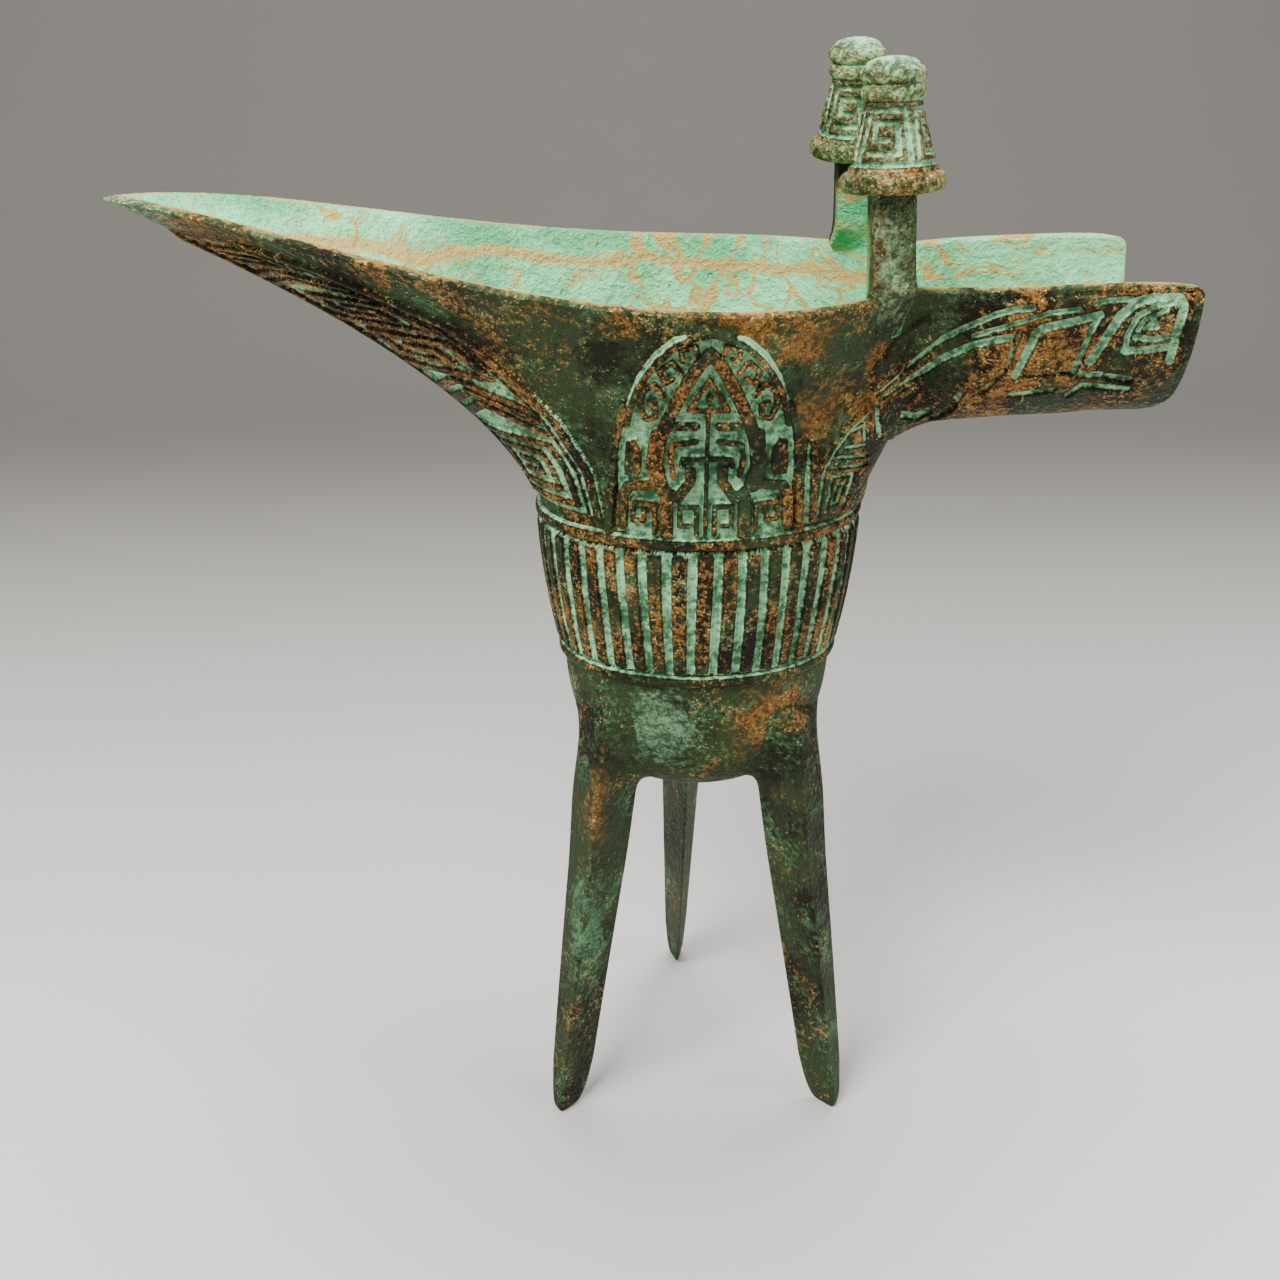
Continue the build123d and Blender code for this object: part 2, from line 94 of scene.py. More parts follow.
# Spout: ends, keel and the rounding of its lip
SPOUT_SEAM = node_end("spout_trough", LOW, X)
SPOUT_ROUND = 30.0           # from here on the section is a round U
SPOUT_REACH = node_end("spout_trough", HIGH, X)
SPOUT_HALF_WIDTH = 13.9
LIP_Z = 104.1
KEEL_Z = 87.5
KEEL_LIFT = 0.9              # share of the wall by which the inner keel lies higher
KEEL_TURN = 3.6              # length over which the keel turns level
LIP_ROUND_LOW = 4.0
LIP_ROUND_HIGH = 1.0
LIP_POWER = 6                # the rounding fades with this power of the way to the lip

# Legs: sizes at the foot and at the top, and how they meet the bowl
LEG_TOP = node_end("leg_left", HIGH, Z)
LEG_FREE = 40.0              # up to here the legs are clear of the bowl
LEG_DEPTH = (4.8, 8.4)
LEG_WIDTH = (2.64, 7.0)
LEG_FILLET = 3.0
LEG_SINK = 0.4               # how deep a leg is let into the bowl
BOWL_CURVE = 12.0            # radius of the bowl's curve where the legs meet it
FOOT_RADIUS = 20.6
REAR_FOOT_RADIUS = 23.8
SEAT_RADIUS = 12.92          # of a leg's outside at its top, were it straight
REAR_SEAT_RADIUS = 10.78
TIP_HEIGHT = 3.5
HALVINGS = 24

# Posts and caps
POST_X = 18.0
POST_Y = 13.2
POST_HALF = 2.1
POST_LEAN_IN = 4.0
POST_LEAN_BACK = 2.0
POST_LAP = 3.0               # from the place where a post leaves the wall up to the rim
POST_HEIGHT = 9.6
POST_ROOT = 1.6              # how far its foot runs on below that place
POST_LET_IN = 0.3            # how far it is let into its cap
POST_PROUD = 0.15            # how far its foot stands out from the wall's face
UNDERSIDE_RADIUS = 2.0       # of the flat under a cap
FLANGE_RADIUS = 4.1          # to the middle of the flange's rounding
FLANGE_ROUND = 1.0
CONE_RADIUS = 4.3
CONE_TAPER = 1.6
CONE_HEIGHT = 6.2
RING_RADIUS = 2.5
RING_SWELL = 0.55
RING_HEIGHT = 1.6
RING_COUNT = 2
DOME_HEIGHT = 0.85
CONE_FOOT = 2 * FLANGE_ROUND
RING_FOOT = CONE_FOOT + CONE_HEIGHT
DOME_FOOT = RING_FOOT + RING_COUNT * RING_HEIGHT
CONE_PANEL_TURN = -110.0     # degrees, where one of its spiral panels faces
CONE_PANEL_WIDTH = 4.6

# Handle and animal head
HANDLE_HALF_WIDTH = node_end("handle_loop", HIGH, X)
HANDLE_HALF_THICK = 1.3
HANDLE_LOW = node_end("handle_loop", LOW, Z) + HANDLE_HALF_THICK
HANDLE_HIGH = node_end("handle_loop", HIGH, Z) - HANDLE_HALF_THICK
HANDLE_REACH = node_end("handle_loop", HIGH, Y) - HANDLE_HALF_THICK
HANDLE_BEND = 6.0
HANDLE_ROOTS = (12.3, 15.8)  # where the lower and the upper end begin, in the wall
HANDLE_LINE = 1.5            # how far its two grooves lie from its middle
HANDLE_GROOVE = 0.25
HANDLE_SET_BACK = 0.17       # how far the crowned strap is set back towards its inside
HEAD_HALF = (4.4, 3.1, 3.1)
HEAD_PLACE = (0, 22.9, 96.2)
HORN_PLACE = (3.6, 22.6, 98.8)
HORN_BEND = 1.35
HORN_THICK = (0.95, 0.5)     # radius at its root and at its tip

# Relief: its ground over the wall's face, its edges and back under it, and places of the panels
FLOOR_LEVEL = 0.04
EDGE_LEVEL = -0.05
SINK = 0.15
MASK_RELIEF = 0.75
MASK_REACH = 10.1
MASK_ARCH = (10.8, 23.8)     # half width and height of the arch that bounds the mask's skin
ARCH_POWERS = (2.6, 0.45)    # of that arch; 2 and 0.5 would make it an ellipse
PANEL_FOOT = UPPER_BEAD_Z + 1.0
PANEL_LAP = 0.4              # how far the panels' skins reach below their foot
CORNER_X = (10.25, 17.45)
CORNER_HEIGHT = 13.0
ROOT_X = 16.2
ROOT_Z = (85.0, 99.4)
TAIL_LEAF_Z = (79.2, 107.6)
TAIL_LEAF_UNITS = 14.0       # the drawing's units from keel to border
TAIL_STROKE = 1.3            # strokes of the drawing are made wider by this
SPOUT_STROKE = 1.25
RIB_HALF = 0.375             # half width of a rib as a share of rib and groove
RIB_SLOPE = 0.12
CARVED_CREASE = 60.0         # degrees; edges of carved pieces stay soft up to here
WELD = 0.003                 # points nearer to each other than this become one

# Stage in metres with its colours, and the camera in millimetres and degrees
SWEEP_HALF = 3.0
SWEEP_HEIGHT = 1.08
SWEEP_BEND = 0.45            # share of the sweep's rows that lie flat
PAPER_FRONT = (0.56, 0.545, 0.52)
# Painted shade: the sweep's colour at the back, darker than at the front
PAPER_BACK_SHADE = (0.100, 0.096, 0.088)
ROOM_COLOUR = (0.70, 0.69, 0.67, 1)
ROOM_STRENGTH = 0.18
LIGHT_AIM = (0, 0, 0.07)
CAMERA_PLACE = (-9.391, -168.399, 137.132)
CAMERA_TURN = (24.59, 0.959, -0.37)
CAMERA_LENS = 45.0
CAMERA_SENSOR = 36.0

# Side view of the rim: how high it stands along the length
RIM_X = (-61.3, -41.5, -29.3, -15, 2, 22, 35, 48.5)
RIM_LEVELS = (110.85, 108.4, 106.0, 103.9, 102.7, 103.0, 103.5, 103.7)
RIM_LINE = np.polyfit(RIM_X, RIM_LEVELS, 5)

# Share of the way from the outer to the inner face, over a rounded edge and over a plain seam
EDGE_RAMP = np.linspace(0, 1, 9)[:, None]
SEAM_RAMP = np.array([[0.0], [1.0]])


class JueSizes(bpy.types.PropertyGroup):
    """Sizes that a maker would change."""
    wall: FloatProperty(
        name="Wall", description="Thickness of the cast wall",
        default=0.0016, unit="LENGTH", precision=4)
    relief: FloatProperty(
        name="Relief", description="Height of the carved panels",
        default=0.0005, unit="LENGTH", precision=4)
    rib_height: FloatProperty(
        name="Rib height", description="Height of the upright ribs",
        default=0.0006, unit="LENGTH", precision=4)
    rib_count: IntProperty(name="Ribs", description="Upright ribs round the cup", default=42)
    bead_radius: FloatProperty(
        name="Bead radius", description="Radius of the raised rings",
        default=0.0008, unit="LENGTH", precision=4)


class JueFinish(bpy.types.PropertyGroup):
    """Colours of the patina."""
    green: FloatVectorProperty(
        name="Green", description="Dark olive green patina",
        subtype="COLOR", default=(0.025, 0.043, 0.015))
    # Also painted as the shade line along the edges of the grooves
    dark: FloatVectorProperty(
        name="Dark", description="Brown-black bronze",
        subtype="COLOR", default=(0.007, 0.005, 0.002))
    mint: FloatVectorProperty(
        name="Mint", description="Pale verdigris in the grooves",
        subtype="COLOR", default=(0.36, 0.74, 0.43))
    # Also painted as shade on the floors of the grooves
    jade: FloatVectorProperty(
        name="Jade", description="Deeper verdigris",
        subtype="COLOR", default=(0.050, 0.155, 0.070))
    rust: FloatVectorProperty(
        name="Rust", description="Rusty gold dust",
        subtype="COLOR", default=(0.25, 0.115, 0.024))
    gold: FloatVectorProperty(
        name="Gold", description="Bright metal specks",
        subtype="COLOR", default=(0.62, 0.42, 0.14))
    lining: FloatVectorProperty(
        name="Lining", description="Green inside of the cup",
        subtype="COLOR", default=(0.075, 0.36, 0.15))
    bloom: FloatVectorProperty(
        name="Bloom", description="Pale bloom on the lining",
        subtype="COLOR", default=(0.27, 0.72, 0.38))
    ochre: FloatVectorProperty(
        name="Ochre", description="Ochre veins on the lining",
        subtype="COLOR", default=(0.46, 0.27, 0.07))


def smooth(t):
    """Eases from 0 to 1: three times the square less twice the cube."""
    t = np.clip(t, 0, 1)
    return t * t * (3 - 2 * t)


def rim_height(x):
    """Height of the rim over x: a curve of fifth degree through its side view."""
    return np.polyval(RIM_LINE, x)


def quarter_round(over, radius):
    """How far a quarter circle stands back at a place that lies so far over its start."""
    over = np.clip(over, 0, radius)
    return radius - np.sqrt(radius**2 - over**2)


def mouth_level(z, inset):
    """Tail reach, spout reach, half width, widest place and pointedness of the mouth at height z.

    Each size grows from the bead's oval by a power of the share climbed. The inset is the wall's
    thickness for the hollow and 0 for the outside.
    """
    rise = np.maximum((z - UPPER_BEAD_Z) / MOUTH_RISE, 0)
    under = np.maximum(rise - HOLLOW_LIFT * inset / MOUTH_RISE * smooth(4 * rise), 0)
    half = OVAL * UPPER_HALF
    half_width = half + (MOUTH_HALF_WIDTH - half) * rise**MOUTH_POWER - inset
    spout = UPPER_HALF + (MOUTH_END - UPPER_HALF) * under**END_POWER - inset
    tail = UPPER_HALF + (TAIL_REACH - UPPER_HALF) * (under * MOUTH_RISE / TAIL_CLIMB) ** TAIL_POWER - inset
    return tail, spout, half_width, MOUTH_WIDEST * smooth(rise), MOUTH_POINT * smooth(rise)


def leaf(angle, point):
    """Half width of a leaf as a share: its middle is at angle 0, its ends at a quarter turn."""
    return (1 - point) * np.cos(angle) + point * np.cos(angle) ** 2


def level_point(angle, z, inset):
    """Near wall of mouth and tail at height z: half a leaf; a quarter turn back is its end at the tail."""
    tail, spout, half_width, widest, point = mouth_level(z, inset)
    reach = np.where(angle > 0, spout - widest, tail + widest)
    x = widest + reach * np.sin(angle)
    return np.stack([x, -half_width * leaf(angle, point), z + 0 * angle], axis=-1)


def level_angle(x, z):
    """Angle at which the outer wall at height z stands over x."""
    tail, spout, half_width, widest, point = mouth_level(z, 0)
    reach = np.where(x > widest, spout - widest, tail + widest)
    return np.arcsin(np.clip((x - widest) / reach, -1, 1))


def mouth_wall(turn, climb, inset):
    """Near wall of mouth and tail: turn goes from tail to spout seam, climb from bead to rim, both 0 to 1.

    The rim's height depends on x and x on the height, so both are settled together by repetition.
    """
    z = UPPER_BEAD_Z + climb * MOUTH_RISE
    for _ in range(SETTLING_ROUNDS):
        tail, spout, half_width, widest, point = mouth_level(z, inset)
        seam = np.arcsin(np.clip((SPOUT_SEAM - widest) / (spout - widest), -1, 1))
        angle = -np.pi / 2 + turn * (seam + np.pi / 2)
        wall = level_point(angle, z, inset)
        z = UPPER_BEAD_Z + climb * (rim_height(wall[..., 0]) - RIM_EDGE - UPPER_BEAD_Z)
    return wall


def seam_keel(inset):
    """Height at which the mouth's keel meets the spout's seam: the mouth's reach solved for the height."""
    under = ((SPOUT_SEAM - UPPER_HALF + inset) / (MOUTH_END - UPPER_HALF)) ** (1 / END_POWER)
    return UPPER_BEAD_Z + MOUTH_RISE * (under + HOLLOW_LIFT * inset / MOUTH_RISE)


def spout_wall(side, depth, along, inset):
    """Spout wall: depth 0 at the rim to 1 at the keel, along 0 at the seam to 1 at the lip.

    The section changes from the mouth's own at the seam to a round U, the keel turns level, and the
    lip stands back by a quarter circle at its foot and at its top.
    """
    x = SPOUT_SEAM + along * (SPOUT_REACH - SPOUT_SEAM)
    end = KEEL_Z + KEEL_LIFT * inset
    keel = end - (end - seam_keel(inset)) * np.exp((SPOUT_SEAM - x) / KEEL_TURN)
    top = (LIP_Z - rim_height(x) + RIM_EDGE) / (LIP_Z - keel)
    deep = top + (1 - top) * depth
    z = LIP_Z + (keel - LIP_Z) * deep
    seam_z = LIP_Z + (seam_keel(inset) - LIP_Z) * deep
    tail, spout, half_width, widest, point = mouth_level(seam_z, inset)
    share = np.clip((SPOUT_SEAM - widest) / (spout - widest), -1, 1)
    mouth = half_width * leaf(np.arcsin(share), point)
    trough = (SPOUT_HALF_WIDTH - inset) * np.sqrt(np.maximum(1 - deep**2, 0))
    width = mouth + (trough - mouth) * smooth((x - SPOUT_SEAM) / (SPOUT_ROUND - SPOUT_SEAM))
    low = quarter_round(LIP_ROUND_LOW - (z - KEEL_Z), LIP_ROUND_LOW)
    high = quarter_round(LIP_ROUND_HIGH - (rim_height(x) - RIM_EDGE - z), LIP_ROUND_HIGH)
    return np.stack([x - (low + high) * along**LIP_POWER, side * width, z], axis=-1)


def bowl_wall(turn, climb, inset):
    """Oval bowl: climb 0 to 1 goes from the pole up to the lower bead, 1 to 2 from there to the upper one.

    Below the lower bead the half length is a power of a cosine, above it it widens by a power.
    """
    lift = np.pi / 2 * (1 - np.clip(climb, 0, 1))
    t = np.clip(climb - 1, 0, 1)
    bowl = LOWER_HALF * np.maximum(np.cos(lift), 0) ** FULLNESS
    belly = LOWER_HALF + (UPPER_HALF - LOWER_HALF) * (1 - (1 - t) ** BELLY_POWER)
    half = np.where(climb < 1, bowl, belly)
    z = np.where(climb < 1, LOWER_BEAD_Z - (BOWL_DEPTH - inset) * np.sin(lift),
                 LOWER_BEAD_Z + (UPPER_BEAD_Z - LOWER_BEAD_Z) * t)
    x = np.maximum(half - inset, 0) * np.cos(turn)
    y = np.maximum(OVAL * half - inset, 0) * np.sin(turn)
    return np.stack([x, y, z + 0 * turn], axis=-1)


def bowl_side(x, y, z):
    """Distance from the bowl's outer wall, nearly: below 0 inside it, above 0 outside."""
    lift = np.linspace(0, np.pi / 2, 160)
    half = LOWER_HALF * np.cos(lift) ** FULLNESS
    level = LOWER_BEAD_Z - BOWL_DEPTH * np.sin(lift)
    reach = np.hypot(x, y / OVAL)
    gap = np.hypot(reach[..., None] - half, z[..., None] - level).min(axis=-1)
    return np.where(reach < np.interp(z, level[::-1], half[::-1], left=-1), -gap, gap)


def mirrored(points):
    """The same surface on the other side of the XZ plane."""
    return points * np.array((1, -1, 1))


def between(first, last, steps, lift=(0, 0, 0)):
    """A strip from one line of points to another, arched by lift in its middle."""
    t = np.linspace(0, 1, steps)[:, None, None]
    arch = 1 - (2 * t - 1) ** 2
    return first + (last - first) * t + np.sqrt(np.maximum(arch, 0)) * np.array(lift)


def normals(points, outward):
    """Unit normals of a gridded surface, turned to the side of the given direction."""
    across = np.gradient(points, axis=1)
    along = np.gradient(points, axis=0)
    normal = np.cross(across, along)
    normal /= np.maximum(np.linalg.norm(normal, axis=-1, keepdims=True), 1e-9)
    return normal * np.sign(np.sum(normal * np.array(outward)) or 1)


def line_distance(p, q, line):
    """Distance from every place (p, q) to a line through the given points."""
    best = np.full(p.shape, 1e9)
    for (a, b), (c, d) in zip(line[:-1], line[1:]):
        run, rise = c - a, d - b
        t = np.clip(((p - a) * run + (q - b) * rise) / max(run * run + rise * rise, 1e-9), 0, 1)
        best = np.minimum(best, np.hypot(p - a - t * run, q - b - t * rise))
    return best


def drawn(p, q, strokes, soft=0.26):
    """1 on the strokes and 0 off them; each stroke is a half width and a line of points."""
    field = np.zeros(p.shape)
    for half, line in strokes:
        field = np.maximum(field, smooth((half + soft / 2 - line_distance(p, q, line)) / soft))
    return field


def filled(p, q, outline, soft=0.3):
    """1 inside a closed outline, 0 outside, eased over the soft edge."""
    inside = np.zeros(p.shape, bool)
    closed = list(outline) + [outline[0]]
    for (a, b), (c, d) in zip(closed[:-1], closed[1:]):
        crosses = (b > q) != (d > q)
        inside ^= crosses & (p < a + (q - b) * (c - a) / (d - b if d != b else 1e-9))
    distance = line_distance(p, q, closed)
    return smooth(0.5 + np.where(inside, distance, -distance) / soft)


def both_hands(strokes):
    """The strokes and their mirror images about p = 0."""
    return strokes + [(half, [(-p, q) for p, q in line]) for half, line in strokes]


def quads(rows, columns):
    """Corners of the faces between rows and columns of points."""
    index = np.arange(rows * columns).reshape(rows, columns)
    corners = [index[:-1, :-1], index[:-1, 1:], index[1:, 1:], index[1:, :-1]]
    return np.stack(corners, axis=-1).reshape(-1, 4)


class Form:
    """Gathers gridded surfaces of one piece, in millimetres, and makes them one closed mesh."""

    def __init__(self):
        self.points = []
        self.faces = []
        self.values = {"groove": [], "lining": [], "brim": []}
        self.count = 0

    def grid(self, points, **values):
        """Adds a surface of rows and columns of points, with a value at each point for its patina."""
        rows, columns = points.shape[:2]
        self.points.append(points.reshape(-1, 3))
        self.faces.append(quads(rows, columns) + self.count)
        for name, kept in self.values.items():
            kept.append(np.broadcast_to(values.get(name, 0.0), (rows, columns)).ravel())
        self.count += rows * columns

    def tube(self, rings, **values):
        """Adds a tube of rings with both ends closed to their middles."""
        self.grid(rings, **values)
        for ring in (rings[0], rings[-1]):
            self.grid(np.stack([ring, np.broadcast_to(ring[:-1].mean(axis=0), ring.shape)]))

    def skin(self, wall, height, outward, groove, ring=False):
        """Adds a closed skin on a wall: its face raised by height, its back sunk a little into the wall."""
        normal = normals(wall, outward)
        face = wall + normal * height[..., None]
        back = wall - normal * SINK
        self.grid(face, groove=groove)
        self.grid(back)
        self.grid(np.stack([face[0], back[0]]))
        self.grid(np.stack([face[-1], back[-1]]))
        if not ring:
            self.grid(np.stack([face[:, 0], back[:, 0]]))
            self.grid(np.stack([face[:, -1], back[:, -1]]))

    def piece(self, name, finish, *nodes, crease=45.0):
        """Makes the mesh, closes its seams and poles, and puts it in the place of the named nodes."""
        points = np.concatenate(self.points) * MM
        faces = np.concatenate(self.faces)
        mesh = bpy.data.meshes.new(name)
        mesh.vertices.add(len(points))
        mesh.vertices.foreach_set("co", points.astype(np.float32).ravel())
        mesh.loops.add(faces.size)
        mesh.loops.foreach_set("vertex_index", faces.astype(np.int32).ravel())
        mesh.polygons.add(len(faces))
        mesh.polygons.foreach_set("loop_start", np.arange(0, faces.size, 4, dtype=np.int32))
        mesh.update(calc_edges=True)
        for value, kept in self.values.items():
            layer = mesh.attributes.new(value, "FLOAT", "POINT")
            layer.data.foreach_set("value", np.concatenate(kept).astype(np.float32))
        shell = bmesh.new()
        shell.from_mesh(mesh)
        bmesh.ops.remove_doubles(shell, verts=shell.verts, dist=WELD * MM)
        bmesh.ops.recalc_face_normals(shell, faces=shell.faces)
        shell.to_mesh(mesh)
        shell.free()
        mesh.polygons.foreach_set("use_smooth", np.ones(len(mesh.polygons), bool))
        mesh.set_sharp_from_angle(angle=np.radians(crease))
        slot, *recipe = FINISHES[finish]
        mesh.materials.append(bpy.data.materials.get(finish) or patina(finish, *recipe))
        piece = bpy.data.objects.new(name, mesh)
        bpy.context.scene.collection.objects.link(piece)
        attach(piece, "root")
        if nodes:
            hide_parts(*nodes)


def relief_pair(near, far, *skins):
    """Makes a carved piece on the near side and its mirror image on the far side.

    The two pieces are a name and the nodes that they stand for. Each skin is a wall on the near side,
    its height, its outward direction and where its grooves are.
    """
    for (name, *nodes), side in ((near, np.array), (far, mirrored)):
        form = Form()
        for wall, height, outward, groove in skins:
            form.skin(side(wall), height, side(np.array(outward)), groove)
        form.piece(name, "relief_patina", *nodes, crease=CARVED_CREASE)


class Flow:
    """A number flowing through a node tree: arithmetic on it adds Math nodes."""

    def __init__(self, finish, socket):
        self.finish = finish
        self.socket = socket

    def math(self, operation, *values):
        """Adds one Math node."""
        return self.finish.node("ShaderNodeMath", {"operation": operation}, dict(enumerate(values)))

    def __add__(self, other):
        return self.math("ADD", self, other)

    def __radd__(self, other):
        return self.math("ADD", other, self)

    def __sub__(self, other):
        return self.math("SUBTRACT", self, other)

    def __rsub__(self, other):
        return self.math("SUBTRACT", other, self)

    def __mul__(self, other):
        return self.math("MULTIPLY", self, other)

    def __rmul__(self, other):
        return self.math("MULTIPLY", other, self)

    def __abs__(self):
        return self.math("ABSOLUTE", self)

    def larger(self, other):
        """The larger one of two numbers."""
        return self.math("MAXIMUM", self, other)

    def step(self, low, high):
        """0 below low, 1 above high, eased between them; low may be the larger one."""
        return self.finish.node("ShaderNodeMapRange", {"interpolation_type": "SMOOTHSTEP"},
                                {"Value": self, "From Min": low, "From Max": high})


class Finish:
    """One procedural material under construction."""

    def __init__(self, name):
        self.material = bpy.data.materials.new(name)
        self.material.use_nodes = True
        self.tree = self.material.node_tree
        self.shader = self.tree.nodes["Principled BSDF"]
        self.place = self.node("ShaderNodeTexCoord", {}, {}, "Object")

    def node(self, kind, settings, inputs, output=0):
        """Adds a node: its settings first, then values or links into its sockets; gives one output."""
        node = self.tree.nodes.new(kind)
        for name, value in settings.items():
            setattr(node, name, value)
        for name, value in inputs.items():
            self.feed(node.inputs[name], value)
        return Flow(self, node.outputs[output])

    def feed(self, socket, value):
        """Links a flow into a socket, or sets the socket's own value."""
        if isinstance(value, Flow):
            self.tree.links.new(value.socket, socket)
        else:
            socket.default_value = value

    def attribute(self, name):
        """A value that the mesh holds at its points."""
        return self.node("ShaderNodeAttribute", {"attribute_name": name}, {}, "Fac")

    def vector(self, operation, first, second=(0, 0, 0), output="Vector"):
        """Adds one Vector Math node."""
        return self.node("ShaderNodeVectorMath", {"operation": operation}, {0: first, 1: second}, output)

    def noise(self, scale, detail=4.0, rough=0.55, shift=0.0, warp=0.0):
        """Cloudy noise with that many features to the metre; shift gives another pattern."""
        inputs = {"Scale": scale, "Detail": detail, "Roughness": rough, "Distortion": warp}
        inputs["Vector"] = self.vector("ADD", self.place, (shift, shift, shift))
        return self.node("ShaderNodeTexNoise", {}, inputs, "Fac")

    def mix(self, share, first, second):
        """Mixes two colours; 6, 7 and 2 are the Mix node's colour sockets."""
        first = first if isinstance(first, Flow) else (*first, 1.0)
        second = second if isinstance(second, Flow) else (*second, 1.0)
        inputs = {"Factor": share, 6: first, 7: second}
        return self.node("ShaderNodeMix", {"data_type": "RGBA"}, inputs, 2)

    def spot(self, place, radius, stretch):
        """1 near a place, in millimetres, breaking up towards the radius; stretch draws it out in z."""
        away = self.vector("SUBTRACT", self.place, tuple(MM * value for value in place))
        squashed = self.vector("MULTIPLY", away, (1, 1, 1 / stretch))
        far = self.vector("LENGTH", squashed, output="Value")
        broken = (self.noise(420.0, 6.0, 0.65) - 0.5) * 2.6 + (self.noise(1500.0, 3.0) - 0.5) * 1.8
        return (far * (1 / (radius * MM)) + broken).step(1.25, 0.35)

    def surface(self, colour, rough, metal, height, distance):
        """Feeds the shader, with a bump of that height over that distance in metres."""
        bump = {"Height": height, "Strength": 0.8, "Distance": distance}
        self.feed(self.shader.inputs["Base Color"], colour)
        self.feed(self.shader.inputs["Roughness"], rough)
        self.feed(self.shader.inputs["Metallic"], metal)
        self.feed(self.shader.inputs["Normal"], self.node("ShaderNodeBump", {}, bump, "Normal"))
        self.shader.inputs["Specular IOR Level"].default_value = 0.15
        return self.material


def faded(colour):
    """A deeper tone of a colour."""
    return tuple(0.3 * value for value in colour)


def patina(name, greenness, rustiness, spots):
    """Cast bronze: brown-black metal under dark green, rusty dust and gold flecks, mint in the grooves.

    The lining attribute turns it to the green of the inside, veined with ochre. The brim attribute is
    the share climbed to the rim. Spots add local patches: a place, a radius, how far it is drawn out
    upwards, the colour's name and its share.
    """
    colours = bpy.context.scene.jue_finish
    finish = Finish(name)
    cloud = finish.noise(95.0, 5.0)
    blotch = finish.noise(230.0, 6.0, 0.62, shift=3.0, warp=0.4)
    uneven = blotch - 0.5
    grain = finish.noise(1500.0, 3.0, shift=7.0) - 0.5
    fine = finish.noise(3800.0, 2.0, shift=1.0) - 0.5
    groove = finish.attribute("groove")
    lining = finish.attribute("lining")
    brim = finish.attribute("brim")

    # Dark metal, green patina over it and a haze of deeper verdigris
    colour = finish.mix((cloud + grain * 0.35 + greenness).step(0.40, 0.66), colours.dark, colours.green)
    haze = (blotch + grain * 0.7 + greenness * 0.3).step(0.52, 0.78)
    colour = finish.mix(haze * 0.70, colour, colours.jade)

    # Rusty dust, more of it under the rim, and the local spots, all speckled with a deeper tone
    dusty = finish.noise(120.0, 6.0, 0.66, shift=11.0, warp=0.7) + rustiness + brim.step(0.84, 1.0) * 0.10
    dust = (dusty + grain * 0.6 + fine * 0.4).step(0.53, 0.70)
    speckle = (grain * 1.6 + fine * 1.4 + blotch).step(0.28, 0.66)
    colour = finish.mix(dust * 0.85, colour, finish.mix(speckle, faded(colours.rust), colours.rust))
    for place, radius, stretch, tint, share in spots:
        full = getattr(colours, tint)
        speckled = finish.mix(speckle, faded(full), full)
        colour = finish.mix(finish.spot(place, radius, stretch) * share, colour, speckled)

    # Mint in the grooves, painted shade deepening their floors towards jade, and a dark painted shade line
    # along their edges
    mint = (groove + uneven * 0.8 + grain * 0.5).step(0.30, 0.80)
    verdigris = finish.mix((blotch + grain * 0.9).step(0.32, 0.66), colours.jade, colours.mint)
    # Painted shade: the floors of the grooves are deepened towards jade
    verdigris = finish.mix(groove.step(0.80, 1.0) * 0.28, verdigris, colours.jade)
    # Painted shade: a dark line where the groove's slope meets the ridge
    colour = finish.mix(groove.step(0.02, 0.16) * groove.step(0.45, 0.25) * 0.7, colour, colours.dark)
    colour = finish.mix(mint * 0.92, colour, verdigris)

    # Dark pits in clusters, and bright flecks on the ridges
    clusters = finish.noise(140.0, 3.0, shift=4.0).step(0.48, 0.62)
    pit = finish.noise(900.0, 2.0, shift=21.0).step(0.70, 0.77) * clusters
    colour = finish.mix(pit * 0.9, colour, colours.dark)
    fleck = (fine + dust * 0.06 + uneven * 0.45).step(0.18, 0.23) * (1 - mint)
    colour = finish.mix(fleck * 0.7, colour, colours.gold)

    # Inside: green under a pale bloom, with veins, a tide line and stains of ochre
    pale = (finish.noise(60.0, 5.0, shift=5.0) + grain * 0.4 + uneven * 0.5).step(0.32, 0.72)
    inside = finish.mix(pale * 0.9, colours.lining, colours.bloom)
    veins = abs(finish.noise(70.0, 3.0, shift=9.0, warp=1.8) - 0.5)
    vein = veins.step(0.034, 0.012) * finish.noise(45.0, 2.0, shift=2.0).step(0.42, 0.56)
    stain = (finish.noise(150.0, 6.0, 0.65, shift=15.0, warp=0.6) + grain * 0.4).step(0.60, 0.72)
    level = brim + (finish.noise(110.0, 4.0, shift=6.0) - 0.5) * 0.16
    broken = finish.noise(40.0, 2.0, shift=8.0).step(0.40, 0.50)
    tide = level.step(0.86, 0.89) * level.step(0.94, 0.91) * broken
    inside = finish.mix(vein.larger(tide).larger(stain * 0.6) * 0.85, inside, colours.ochre)

    # The two meet on the rim, under a broken line of ochre
    edge = (1 - abs(lining - 0.5) * 2.0).step(0.1, 0.8)
    colour = finish.mix(lining.step(0.45, 0.55), colour, inside)
    colour = finish.mix(edge * (blotch + grain * 0.6).step(0.40, 0.62) * 0.8, colour, colours.ochre)
    rough = 0.46 + blotch * 0.25 + mint * 0.18 - fleck * 0.2 + lining * 0.08
    metal = 0.3 * (1 - mint) * (1 - lining) + fleck * 0.4
    height = grain * 0.9 + blotch * 1.3 + fine * 0.35 + mint * 0.1 - pit * 1.2
    return finish.surface(colour, rough, metal, height, 0.0009)


